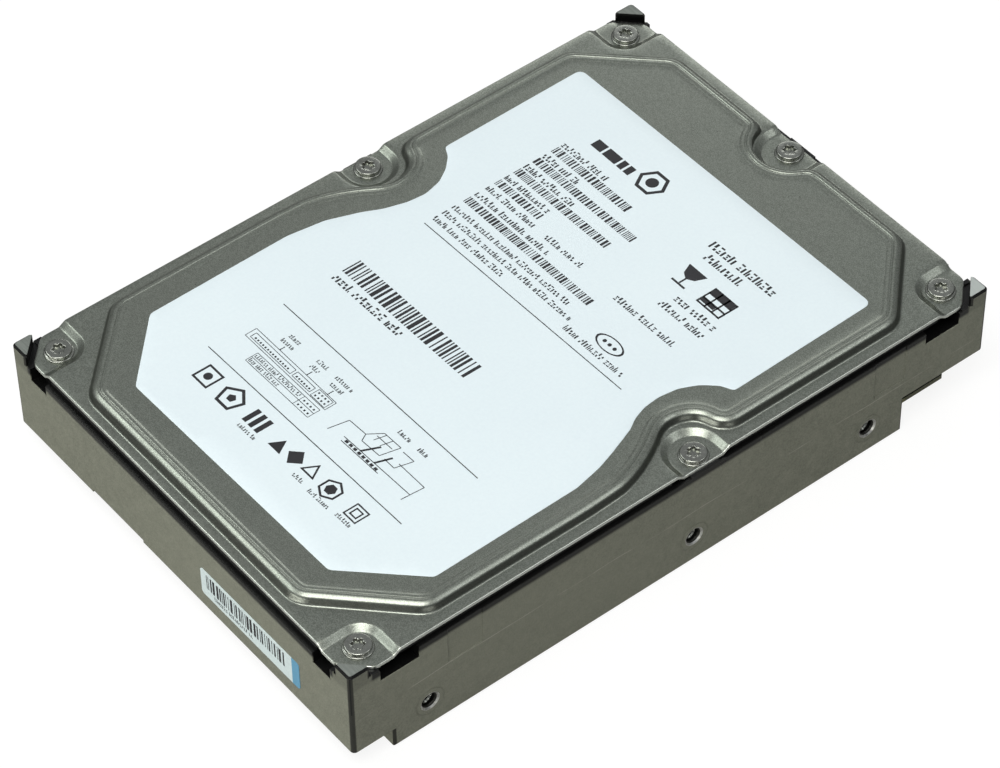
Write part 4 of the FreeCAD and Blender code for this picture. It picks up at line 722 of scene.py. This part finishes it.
def cover_plan():
    plan = Plan()
    plan.add_line(edge)
    for inset in (-0.07, -RIM_WIDTH):
        plan.add_line(offset_line(edge, inset))
    for distance in SECTION[1:, 0]:
        plan.add_line(offset_line(bead, float(distance)))
    for pad in PADS:
        for out in PAD_LINES:
            line = pad_line(*pad, out)
            inside = signed_distance(np.array(line), edge) < -0.3
            run = [point for point, kept in zip(line, inside) if kept]
            if len(run) > 3:
                plan.add_line(run, closed=False)
    for x, y in SCREWS:
        plan.add_line(circle(x, y, radius=1.5, count=32))
        plan.add_line(circle(x, y, radius=2.9, count=48))
    # loose points that keep the triangles even on the flats
    loose = grid((-49.6, 49.7), (-71.8, 71.9), step=1.25)
    loose += np.array([[rnd.uniform(-0.12, 0.12), rnd.uniform(-0.12, 0.12)]
                       for _ in range(len(loose))])
    to_bead, to_pad = signed_distance(loose, bead), pad_distance(loose)
    free = (signed_distance(loose, edge) < -0.8) & ((to_bead < -0.6) | (to_bead > 4.4)) & \
        ((to_pad > 2.4) | (to_pad < -0.8))
    for x, y in SCREWS:
        free &= np.hypot(loose[:, 0] - x, loose[:, 1] - y) > 3.3
    plan.add_points(loose[free])
    return plan


def build_cover():
    points, triangles = cover_plan().triangulate(epsilon=1e-5)
    centers = points[triangles].mean(1)
    keep = signed_distance(centers, edge) < 0
    for x, y in SCREWS:
        keep &= np.hypot(centers[:, 0] - x, centers[:, 1] - y) > 1.49
    triangles = triangles[keep]
    triangles = triangles[np.abs(double_areas(points, triangles)) > 1e-9]
    # renumber to the points still in use
    used = np.unique(triangles)
    index = np.full(len(points), -1)
    index[used] = np.arange(len(used))
    points, triangles = points[used], index[triangles]
    height = cover_height(points)
    to_edge = -signed_distance(points, edge)
    top = height - RIM_DROP * (1 - np.clip(to_edge / RIM_WIDTH, 0, 1)) ** 2
    verts, faces = closed_sheet(points, triangles, top, height - COVER_THICKNESS)
    cover = base_object("cover_shell", verts, faces, MATERIALS["cover"], smooth_angle=50)
    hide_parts("top_cover")


build_cover()


# ============================================================ cover screws
# screw section from the shank up: radius, height above the seat
SCREW_SECTION = [
    (0.02, -3.0), (1.18, -3.0), (1.18, 0.0), (2.80, 0.0), (2.84, 0.04), (2.84, 0.12),
    (2.79, 0.19), (2.68, 0.235), (2.50, 0.26), (2.42, 0.30), (2.39, 0.37), (2.42, 0.44),
    (2.50, 0.49), (2.54, 0.55), (2.54, 0.76), (2.52, 0.84), (2.46, 0.92), (2.37, 0.975),
    (2.26, 1.00), (2.10, 1.012), (1.75, 1.02)]
# six-lobe socket: scale of the lobed outline, height above the seat
SOCKET_SECTION = [(1.10, 1.02), (1.01, 0.96), (0.97, 0.30), (0.60, 0.26)]
SOCKET_RADIUS, SOCKET_LOBE, SOCKET_LIMIT = 1.14, 0.19, 1.28
SOCKET_FLOOR = 0.18
SCREW_SEGMENTS = 72


def screw_mesh(x, y, spin):
    seg = SCREW_SEGMENTS
    angles = [2 * math.pi * k / seg for k in range(seg)]
    lobes = [min(SOCKET_RADIUS + SOCKET_LOBE * math.cos(6 * (t - spin)), SOCKET_LIMIT)
             for t in angles]
    rings = [([radius] * seg, z) for radius, z in SCREW_SECTION]
    rings += [([scale * lobe for lobe in lobes], z) for scale, z in SOCKET_SECTION]
    verts = [(x + radius * math.cos(t), y + radius * math.sin(t), SEAT_Z + z)
             for radii, z in rings for radius, t in zip(radii, angles)]
    tip = len(verts)
    verts.append((x, y, SEAT_Z + SOCKET_FLOOR))
    faces = []
    for low in range(0, tip - seg, seg):
        high = low + seg
        for k in range(seg):
            after = (k + 1) % seg
            faces.append((low + k, low + after, high + after, high + k))
    last = tip - seg
    faces += [(last + k, last + (k + 1) % seg, tip) for k in range(seg)]
    faces.append(tuple(reversed(range(seg))))
    return verts, faces


def build_screws():
    verts, faces = [], []
    for i, (x, y) in enumerate(SCREWS):
        start = len(verts)
        screw_verts, screw_faces = screw_mesh(x, y, spin=0.4 + 1.3 * i)
        verts += screw_verts
        faces += [tuple(j + start for j in f) for f in screw_faces]
    screws = base_object("cover_screw_set", verts, faces, MATERIALS["screw"], smooth_angle=38)
    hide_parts("cover_screws")


build_screws()


# ============================================ threads in the side mount holes
THREAD_START_X = 50.15
THREAD_RADIUS = 1.425
THREAD_PITCH = 0.79
THREAD_TURNS = 5.0
STEPS_PER_TURN = 36
FADE_STEPS = 18.0
# thread section: offset into the hole, height of the crest
THREAD_SECTION = ((0.0, 0.0), (0.30, 0.20), (0.46, 0.20), (0.74, 0.0))


def build_threads():
    verts, faces = [], []
    steps = int(THREAD_TURNS * STEPS_PER_TURN)
    for sx in (1, -1):
        for hole_y in SIDE_HOLES_Y:
            start = len(verts)
            for k in range(steps + 1):
                t = 2 * math.pi * k / STEPS_PER_TURN
                depth = THREAD_START_X - THREAD_PITCH * k / STEPS_PER_TURN
                fade = min(1.0, k / FADE_STEPS, (steps - k) / FADE_STEPS)
                for offset, crest in THREAD_SECTION:
                    radius = THREAD_RADIUS - crest * fade
                    verts.append((sx * (depth - offset), hole_y + radius * math.cos(t),
                                  SIDE_HOLE_Z + sx * radius * math.sin(t)))
            for k in range(steps):
                for q in range(3):
                    a = start + 4 * k + q
                    faces.append((a, a + 1, a + 5, a + 4))
    threads = base_object("mount_hole_threads", verts, faces, MATERIALS["screw"],
                          smooth_angle=30)


build_threads()


# ================================================================== label
# outline of the top label: x, y, counter-clockwise from its front left corner
LABEL_OUTLINE = [
    (-27.0, -62.4), (29.6, -61.7), (42.4, -48.5), (42.0, -16.5), (40.8, -10.5), (39.4, -6.2),
    (37.2, -0.4), (35.7, 2.0), (34.7, 5.0), (34.4, 8.5), (35.0, 12.5), (36.7, 16.0),
    (39.2, 18.8), (41.7, 20.0), (41.0, 52.6), (40.2, 53.4), (-40.2, 52.6), (-41.0, 51.8),
    (-40.7, 19.1), (-38.3, 17.9), (-35.9, 15.5), (-34.0, 12.5), (-33.0, 8.5), (-33.4, 4.5),
    (-34.8, 0.0), (-36.8, -4.0), (-39.3, -10.5), (-40.5, -18.5), (-40.2, -49.8)]
LABEL_BOTTOM, LABEL_RIM, LABEL_TOP = 25.802, 25.86, 25.90


def build_label():
    outline = smoothed(LABEL_OUTLINE, step=0.3, sigma=0.45)
    plan = Plan()
    plan.add_line(outline)
    plan.add_line(offset_line(outline, -0.12))
    loose = grid((-41, 42.5), (-61, 53.5), step=3.0)
    plan.add_points(loose[signed_distance(loose, outline) < -1.2])
    points, triangles = plan.triangulate(epsilon=1e-6)
    triangles = triangles[signed_distance(points[triangles].mean(1), outline) < 0]
    at_rim = -signed_distance(points, outline) < 0.06
    verts, faces = closed_sheet(points, triangles, np.where(at_rim, LABEL_RIM, LABEL_TOP),
                                np.full(len(points), LABEL_BOTTOM))
    label = base_object("label_sheet", verts, faces, MATERIALS["paper"], smooth_angle=30)
    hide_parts("top_label")


build_label()


# =========================================================== label printing
class Print:
    """Flat ink shapes on one plane; rows of type and bars may be tilted."""

    def __init__(self, place, tilt=0.0):
        self.verts, self.faces = [], []
        self.place, self.tilt = place, tilt
        self.row_start = None

    def poly(self, points):
        start = len(self.verts)
        if self.row_start is not None:
            points = [(x, y + self.tilt * (x - self.row_start)) for x, y in points]
        self.verts += [self.place(x, y) for x, y in points]
        self.faces.append(tuple(range(start, start + len(points))))

    def rect(self, left, bottom, right, top):
        self.poly([(left, bottom), (right, bottom), (right, top), (left, top)])

    def repeat(self, count, pitch, *boxes):
        """Rectangles (left, bottom, right, top) repeated along x."""
        for k in range(count):
            for left, bottom, right, top in boxes:
                self.rect(left + pitch * k, bottom, right + pitch * k, top)

    def lines(self, width, *segments):
        """Strokes (x, y, x, y) of one width."""
        for x0, y0, x1, y1 in segments:
            length = math.hypot(x1 - x0, y1 - y0)
            nx = -(y1 - y0) / length * width / 2
            ny = (x1 - x0) / length * width / 2
            self.poly([(x0 - nx, y0 - ny), (x1 - nx, y1 - ny),
                       (x1 + nx, y1 + ny), (x0 + nx, y0 + ny)])

    def ring(self, x, y, outer, inner, count, flatten):
        """Elliptical ring, its y radii scaled by `flatten`."""
        start = len(self.verts)
        for k in range(count + 1):
            t = math.radians(360.0 * k / count)
            for radius in (inner, outer):
                self.verts.append(self.place(x + radius * math.cos(t),
                                             y + flatten * radius * math.sin(t)))
        for a in range(start, start + 2 * count, 2):
            self.faces.append((a, a + 1, a + 3, a + 2))

    def frame(self, x, y, radius, width, sides, turn):
        """Outline of a regular polygon, turned by degrees."""
        for k in range(sides):
            t0, t1 = (math.radians(turn + 360.0 * q / sides) for q in (k, k + 1))
            self.poly([(x + (radius - inset) * math.cos(t), y + (radius - inset) * math.sin(t))
                       for inset, t in ((0, t0), (0, t1), (width, t1), (width, t0))])

    def disc(self, x, y, radius, sides=32, turn=0.0):
        """Filled regular polygon, turned by radians."""
        angles = [2 * math.pi * k / sides + turn for k in range(sides)]
        self.poly([(x + radius * math.cos(t), y + radius * math.sin(t)) for t in angles])

    def bars(self, left, right, bottom, top, unit=0.21):
        """Plain random bars."""
        self.row_start = left
        x = left
        while x < right - unit:
            width = min(unit * rnd.choice((1, 1, 1, 2, 2, 3)), right - x)
            self.rect(x, bottom, x + width * 0.92, top)
            x += width + unit * rnd.choice((1, 1, 1, 2, 2))
        self.row_start = None

    def text(self, left, right, y, size, weight=0.20):
        """A row of loose ticks and blocks with the rhythm of type, no characters."""
        self.row_start = left
        x = left
        stroke = size * weight
        word = rnd.randint(4, 9)
        while x < right - size * 0.4:
            tall = rnd.random() < 0.35
            top = y + size * (1.0 if tall else 0.76)
            kind = rnd.randint(0, 5)
            width = size * 0.46
            if kind == 0:
                self.rect(x, y, x + stroke, top)
                self.rect(x + stroke * 1.5, y, x + width, y + stroke * 1.2)
            elif kind == 1:
                self.rect(x, top - stroke, x + width, top)
                self.rect(x, y, x + width, y + stroke)
                self.rect(x + width * 0.3, y + size * 0.30,
                          x + width * 0.3 + stroke, y + size * 0.50)
            elif kind == 2:
                self.rect(x, y, x + stroke, top)
                self.rect(x + width - stroke, y, x + width, y + size * 0.60)
            elif kind == 3:
                self.rect(x, y + size * 0.42, x + width * 0.62, top)
                self.rect(x + width * 0.35, y, x + width, y + size * 0.32)
            elif kind == 4:
                width = size * 0.30
                self.rect(x, y, x + width * 0.8, top)
            else:
                self.rect(x, y, x + width * 0.5, y + size * 0.36)
                self.rect(x + width * 0.45, y + size * 0.44, x + width, top)
            x += width + size * 0.15
            word -= 1
            if word == 0:
                word = rnd.randint(4, 9)
                x += size * 0.40
        self.row_start = None

    def texts(self, *rows):
        """Several rows: left, right, y, size and, if given, weight."""
        for row in rows:
            self.text(*row)

    def build(self, name):
        base_object(name, self.verts, self.faces, MATERIALS["ink"])


# rows at the rear left of the label: kind, left, right, y, height
LABEL_ROWS = [
    ("text", -27.5, -14.5, 36.4, 1.45), ("bars", -27.5, -5.8, 34.0, 2.0),
    ("text", -27.5, -17.0, 31.7, 1.5), ("bars", -27.5, 0.8, 29.5, 1.9),
    ("text", -27.5, -13.0, 27.2, 1.5), ("bars", -27.5, -1.2, 24.9, 1.9),
    ("text", -27.5, -14.8, 22.6, 1.4), ("bars", -27.5, -14.6, 20.3, 1.8),
    ("text", -27.5, -13.6, 18.1, 1.4), ("text", -10.4, 0.2, 18.3, 1.4),
    ("text", -27.5, -6.4, 15.5, 1.5), ("bars", -27.5, 8.4, 12.9, 1.9),
    ("text", -27.5, 6.4, 10.1, 1.3), ("text", -27.5, 9.0, 7.8, 1.3),
    ("text", -27.5, -7.0, 5.5, 1.3)]


def print_rear_left(ink):
    """Hexagon and bars over the rows of type and bars."""
    ink.frame(-8.8, 43.3, radius=3.4, width=0.8, sides=6, turn=0.0)
    ink.disc(-8.8, 43.3, radius=1.3)
    for left, right in ((-24.2, -21.4), (-20.9, -17.2), (-16.7, -15.3), (-14.8, -13.3)):
        ink.rect(left, 41.0, right, 43.3)
    for kind, left, right, y, height in LABEL_ROWS:
        if kind == "text":
            ink.text(left, right, y, height)
        else:
            ink.bars(left, right, y, y + height)
    ink.lines(0.20, (-27.5, 3.75, 28.3, 4.85))


def print_rear_right(ink):
    """Cup shape, grid, oval and rows of type."""
    ink.texts((10.5, 29.2, 40.4, 1.9), (12.3, 23.0, 37.6, 1.9))
    ink.poly([(11.9, 34.9), (16.9, 34.9), (15.9, 32.6), (14.4, 31.7), (12.9, 32.6)])
    ink.rect(14.2, 30.2, 14.6, 31.8)
    ink.rect(12.6, 29.7, 16.2, 30.15)
    for k in range(4):
        ink.rect(19.7, 29.6 + 1.52 * k, 26.0, 30.0 + 1.52 * k)
        ink.rect(19.7 + 1.97 * k, 29.6, 20.1 + 1.97 * k, 34.56)
    ink.rect(20.1, 33.0, 25.6, 34.2)
    ink.rect(20.1, 30.3, 23.6, 31.3)
    ink.texts((17.0, 27.6, 26.5, 1.6, 0.19), (16.0, 27.8, 23.6, 1.6, 0.19),
              (9.8, 26.4, 18.2, 1.5, 0.18))
    ink.ring(18.5, 10.3, outer=3.5, inner=3.0, count=48, flatten=0.5)
    for k in range(3):
        ink.disc(17.1 + 1.4 * k, 10.3, radius=0.42, sides=16)
    ink.text(9.8, 26.0, 6.3, 1.4, 0.17)


def print_middle(ink):
    """Wide bars, a row of type and a rule."""
    ink.bars(-27.2, 8.2, -15.7, -11.4, unit=0.33)
    ink.text(-27.0, -6.0, -18.4, 1.8, 0.21)
    ink.lines(0.20, (-27.2, -29.1, 28.8, -28.3))


def print_connectors(ink):
    """Connector drawing with captions and a small table below it."""
    ink.texts((-20.0, -16.8, -33.4, 1.0), (-11.8, -8.6, -33.3, 1.0), (-6.4, -1.8, -33.2, 1.0),
              (-20.2, -16.4, -35.1, 1.0), (-11.6, -8.8, -35.0, 1.0), (-5.8, -2.2, -34.9, 1.0))
    for x0, y0, x1, y1 in ((-25.3, -39.2, -1.3, -36.6), (-24.4, -38.7, -12.4, -37.3),
                           (-11.8, -38.7, -6.6, -37.3), (-5.9, -39.0, -1.8, -36.9)):
        ink.lines(0.14, (x0, y0, x1, y0), (x0, y1, x1, y1), (x0, y0, x0, y1), (x1, y0, x1, y1))
    ink.repeat(14, 0.75, (-23.6, -38.4, -23.2, -38.0))
    ink.repeat(6, 0.75, (-11.2, -38.4, -10.8, -38.0))
    ink.repeat(4, 0.9, (-5.4, -37.7, -5.0, -37.3), (-5.4, -38.6, -5.0, -38.2))
    ink.lines(0.22, (-18.3, -36.6, -18.3, -35.4), (-10.2, -36.6, -10.2, -35.3),
              (-4.0, -36.6, -4.0, -35.2))
    ink.lines(0.13, (-20.2, -40.1, -1.8, -39.9), (-20.2, -41.5, -1.8, -41.3),
              (-20.2, -42.9, -1.8, -42.7), (-20.2, -42.9, -20.2, -40.1),
              (-1.8, -42.7, -1.8, -39.9), (-6.2, -42.8, -6.2, -40.0))
    ink.texts((-19.9, -6.6, -41.2, 0.9), (-19.9, -11.0, -42.6, 0.9))
    ink.repeat(4, 0.95, (-5.6, -40.9, -5.2, -40.5), (-5.6, -42.3, -5.2, -41.9))


def print_line_drawing(ink):
    """Line drawing right of the connectors, with two captions and a rule in front."""
    ink.texts((11.2, 14.8, -32.6, 1.1), (16.8, 19.4, -32.5, 1.1))
    ink.lines(0.17, (3.5, -37.3, 8.0, -37.1), (3.5, -37.3, 2.6, -41.6),
              (17.4, -36.9, 24.6, -36.9), (24.6, -36.9, 24.2, -41.8),
              (8.0, -37.1, 10.0, -34.4), (10.0, -34.4, 14.6, -34.3),
              (14.6, -34.3, 13.6, -38.4), (15.6, -34.6, 18.6, -34.5),
              (18.6, -34.5, 17.6, -38.2), (8.8, -38.6, 13.6, -38.4),
              (8.8, -38.6, 8.0, -37.1), (14.8, -38.2, 17.6, -38.2),
              (6.0, -40.4, 24.3, -39.9), (6.4, -41.4, 16.8, -41.2),
              (9.6, -35.8, 13.8, -35.7), (10.6, -34.4, 10.0, -36.9),
              (12.4, -34.4, 11.8, -36.9))
    ink.lines(0.45, (10.6, -40.3, 12.2, -36.9), (14.4, -40.2, 15.6, -36.9))
    ink.repeat(8, 1.2, (6.9, -41.1, 7.7, -40.5))
    ink.lines(0.20, (-27.2, -46.1, 28.8, -45.2))


def print_marks(ink):
    """Row of plain geometric marks along the front."""
    ink.frame(-21.2, -50.5, radius=3.1, width=0.65, sides=4, turn=45.0)
    ink.disc(-21.2, -50.5, radius=0.9)
    ink.frame(-14.2, -50.4, radius=3.1, width=0.75, sides=5, turn=90.0)
    ink.disc(-14.2, -50.4, radius=1.0, sides=5, turn=math.pi / 2)
    ink.repeat(3, 1.75, (-9.0, -52.0, -7.9, -48.2))
    ink.text(-8.3, -3.4, -53.6, 0.95)
    ink.disc(0.4, -50.9, radius=2.0, sides=3, turn=math.pi / 2)
    ink.disc(4.6, -50.1, radius=2.0, sides=4)
    ink.frame(8.9, -49.9, radius=2.2, width=0.75, sides=3, turn=90.0)
    ink.text(7.4, 10.4, -53.2, 0.95)
    ink.frame(14.6, -49.9, radius=2.5, width=0.5, sides=6, turn=30.0)
    ink.disc(14.6, -49.9, radius=1.25, sides=6)
    ink.text(12.2, 18.0, -53.4, 0.95)
    for radius in (2.5, 1.4):
        ink.frame(21.9, -49.8, radius, width=0.45, sides=4, turn=45.0)
    ink.text(19.7, 24.0, -53.0, 0.95)


# the print sits just above the label and its rows climb slightly towards +X
label_ink = Print(lambda x, y: (x + 0.5, y - 0.35, 25.912), tilt=0.0135)
for print_part in (print_rear_left, print_rear_right, print_middle, print_connectors,
                   print_line_drawing, print_marks):
    print_part(label_ink)
label_ink.build("label_print")


# =========================================================== front sticker
STICKER_FACE_Y, STICKER_BACK_Y = -73.5, -73.402
STICKER_CORNER_RADIUS = 0.75
# corner centres: x, z, start angle of the quarter circle
STICKER_CORNERS = [(35.15, 9.0, -90.0), (35.15, 14.25, 0.0), (7.65, 14.25, 90.0),
                   (7.65, 9.0, 180.0)]


def build_sticker():
    outline = []
    for x, z, start in STICKER_CORNERS:
        outline += arc(x, z, STICKER_CORNER_RADIUS, start, start + 90.0, 8)
    n = len(outline)
    verts = [(x, y, z) for y in (STICKER_FACE_Y, STICKER_BACK_Y) for x, z in outline]
    faces = [tuple(range(n)), tuple(reversed(range(n, 2 * n)))]
    faces += [(k, k + n, (k + 1) % n + n, (k + 1) % n) for k in range(n)]
    sticker = base_object("front_sticker_sheet", verts, faces, MATERIALS["sticker"])
    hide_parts("front_sticker")


build_sticker()
sticker_ink = Print(lambda x, z: (x, STICKER_FACE_Y - 0.012, z))
sticker_ink.bars(8.6, 31.6, 10.6, 14.2, unit=0.23)
sticker_ink.text(10.8, 22.6, 9.2, 1.0, 0.17)
sticker_ink.build("sticker_print")


# ============================================================== flex loop
# centre line of the ribbon, seen from above: x, y
FLEX_POINTS = [(-18.66, 31.15), (-18.7, 33.0), (-17.0, 34.5), (-13.5, 34.1), (-8.0, 31.6),
               (-2.0, 29.2), (4.0, 30.6), (7.5, 36.0), (8.35, 43.0), (8.4, 51.0)]
FLEX_BOTTOM, FLEX_TOP, FLEX_ROWS = 12.6, 18.8, 13
FLEX_HALF_THICKNESS, FLEX_RIDGE = 0.07, 0.025


def catmull(points, per_span):
    """Catmull-Rom curve through the points."""
    points = np.array(points)
    last = len(points) - 1
    out = []
    for i in range(last):
        p0, p1, p2, p3 = (points[j] for j in (max(i - 1, 0), i, i + 1, min(i + 2, last)))
        for k in range(per_span):
            t = k / per_span
            out.append(0.5 * ((2 * p1) + (-p0 + p2) * t + (2 * p0 - 5 * p1 + 4 * p2 - p3) * t * t
                              + (-p0 + 3 * p1 - 3 * p2 + p3) * t ** 3))
    out.append(points[-1])
    return np.array(out, float)


def build_flex():
    path = catmull(FLEX_POINTS, per_span=10)
    tangent = np.gradient(path, axis=0)
    tangent /= np.hypot(*tangent.T)[:, None]
    normal = np.stack([-tangent[:, 1], tangent[:, 0]], 1)
    verts, faces = [], []
    for sign in (1, -1):
        for row, z in enumerate(np.linspace(FLEX_BOTTOM, FLEX_TOP, FLEX_ROWS)):
            # every other row stands out as a fine ridge
            offset = sign * (FLEX_HALF_THICKNESS + (FLEX_RIDGE if row % 2 else 0.0))
            verts += [(x, y, z) for x, y in path + normal * offset]
    length = len(path)
    layer = length * FLEX_ROWS
    for side in range(2):
        for row in range(FLEX_ROWS - 1):
            for i in range(length - 1):
                a = side * layer + row * length + i
                quad = (a, a + 1, a + length + 1, a + length)
                faces.append(quad if side else quad[::-1])
    for row in range(FLEX_ROWS - 1):
        for i in (0, length - 1):
            a = row * length + i
            b = a + length
            quad = (a, b, b + layer, a + layer)
            faces.append(quad if i else quad[::-1])
    for i in range(length - 1):
        for row in (0, FLEX_ROWS - 1):
            a = row * length + i
            quad = (a, a + 1, a + 1 + layer, a + layer)
            faces.append(quad if row == 0 else quad[::-1])
    flex = new_object("flex_ribbon", verts, faces, MATERIALS["amber_film"], smooth_angle=40)
    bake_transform(flex)
    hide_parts("flex_loop")


build_flex()

# ======================================================= camera and studio
scene = bpy.context.scene
# directions of the camera's right, up and back in the world
CAMERA_AXES = np.array([[0.61134457, 0.79082064, -0.02933472],
                        [-0.56967132, 0.46550977, 0.67732949],
                        [0.54930175, -0.39737056, 0.73509471]])
ORIGIN_SEEN = np.array([19.82731, 4.16295, -773.48944])  # world origin on those axes (mm)


def build_camera():
    data = bpy.data.cameras.new("camera")
    camera = bpy.data.objects.new("camera", data)
    scene.collection.objects.link(camera)
    location = -CAMERA_AXES.T @ ORIGIN_SEEN
    turn = Matrix(CAMERA_AXES.tolist()).transposed().to_4x4()
    camera.matrix_world = Matrix.Translation(Vector(location * MM)) @ turn
    data.sensor_width = 36.0
    data.lens = 149.242572
    data.shift_x = 0.10399
    data.shift_y = 0.046927
    data.clip_start = 0.01
    data.clip_end = 20.0
    scene.camera = camera


def build_floor():
    """Six metre sheet that looks nearly white to the camera but lights the object as grey."""
    mesh = bpy.data.meshes.new("studio_floor")
    mesh.from_pydata([(-3, -3, 0), (3, -3, 0), (3, 3, 0), (-3, 3, 0)], [], [(0, 1, 2, 3)])
    floor = bpy.data.objects.new("studio_floor", mesh)
    scene.collection.objects.link(floor)
    m = Material("studio_paper")
    m.shaded({"Base Color": (0.34, 0.34, 0.33), "Roughness": 0.8, "Specular IOR Level": 0.1})
    pale = m.new("ShaderNodeBsdfDiffuse", {"Color": (0.16, 0.16, 0.16)})
    glow = m.new("ShaderNodeEmission", {"Color": (1.0, 1.0, 0.995), "Strength": 0.87})
    both = m.new("ShaderNodeAddShader", {0: pale.outputs[0], 1: glow.outputs[0]})
    ray = m.new("ShaderNodeLightPath")
    pick = m.new("ShaderNodeMixShader", {0: ray.outputs["Is Camera Ray"],
                                         1: m.bsdf.outputs[0], 2: both.outputs[0]})
    m.link(pick.outputs[0], m.out.inputs[0])
    mesh.materials.append(m.material)


# area lights aimed at the origin:
# name, direction from the origin, distance (m), size (m), power (W), colour
LIGHTS = [
    ("key", (0.22, -0.34, 0.92), 1.2, (0.72, 0.58), 7.6, (1.0, 0.99, 0.96)),
    ("front_high", (-0.54, -0.40, 0.745), 1.25, (0.80, 0.24), 2.8, (0.96, 1.0, 0.97)),
    ("low_front", (0.10, -1.00, 0.13), 1.2, (1.00, 0.20), 6.3, (1.0, 0.99, 0.94)),
    ("side", (0.41, 0.42, 0.80), 1.3, (0.34, 0.40), 1.25, (0.98, 0.99, 1.0)),
    ("low_side", (1.0, -0.32, 0.10), 1.3, (0.70, 0.12), 1.5, (1.0, 0.99, 0.95)),
    ("rim", (-0.66, 0.68, 0.40), 1.3, (0.75, 0.18), 1.3, (1.0, 1.0, 0.98)),
    ("back", (-0.62, 0.60, 0.54), 1.35, (0.34, 0.30), 0.28, (0.97, 0.99, 1.0)),
]


def build_light(name, direction, distance, size, power, color):
    toward = Vector(direction).normalized()
    data = bpy.data.lights.new(name, "AREA")
    data.shape = "RECTANGLE"
    data.size, data.size_y = size
    data.energy = power
    data.color = color
    light = bpy.data.objects.new(name, data)
    light.location = toward * distance
    light.rotation_euler = (-toward).to_track_quat("-Z", "Y").to_euler()
    scene.collection.objects.link(light)


def build_world():
    """Soft light that grows with height; plain white to the camera."""
    world = bpy.data.worlds.new("studio")
    scene.world = world
    w = Nodes(world)
    up = w.split(w.new("ShaderNodeTexCoord").outputs["Generated"])[2]
    level = w.ramp(up, over=(0.05, 0.70), to=(0.08, 0.42))
    soft = w.new("ShaderNodeBackground", {"Color": (0.95, 0.97, 1.0), "Strength": level})
    white = w.new("ShaderNodeBackground", {"Color": (1.0, 1.0, 1.0)})
    ray = w.new("ShaderNodeLightPath")
    sky = w.new("ShaderNodeMixShader", {0: ray.outputs["Is Camera Ray"],
                                        1: soft.outputs[0], 2: white.outputs[0]})
    w.new("ShaderNodeOutputWorld", {0: sky.outputs[0]})


build_camera()
build_floor()
for light_row in LIGHTS:
    build_light(*light_row)
build_world()
scene.view_settings.view_transform = "Standard"
scene.view_settings.look = "None"
scene.view_settings.exposure = 0.0
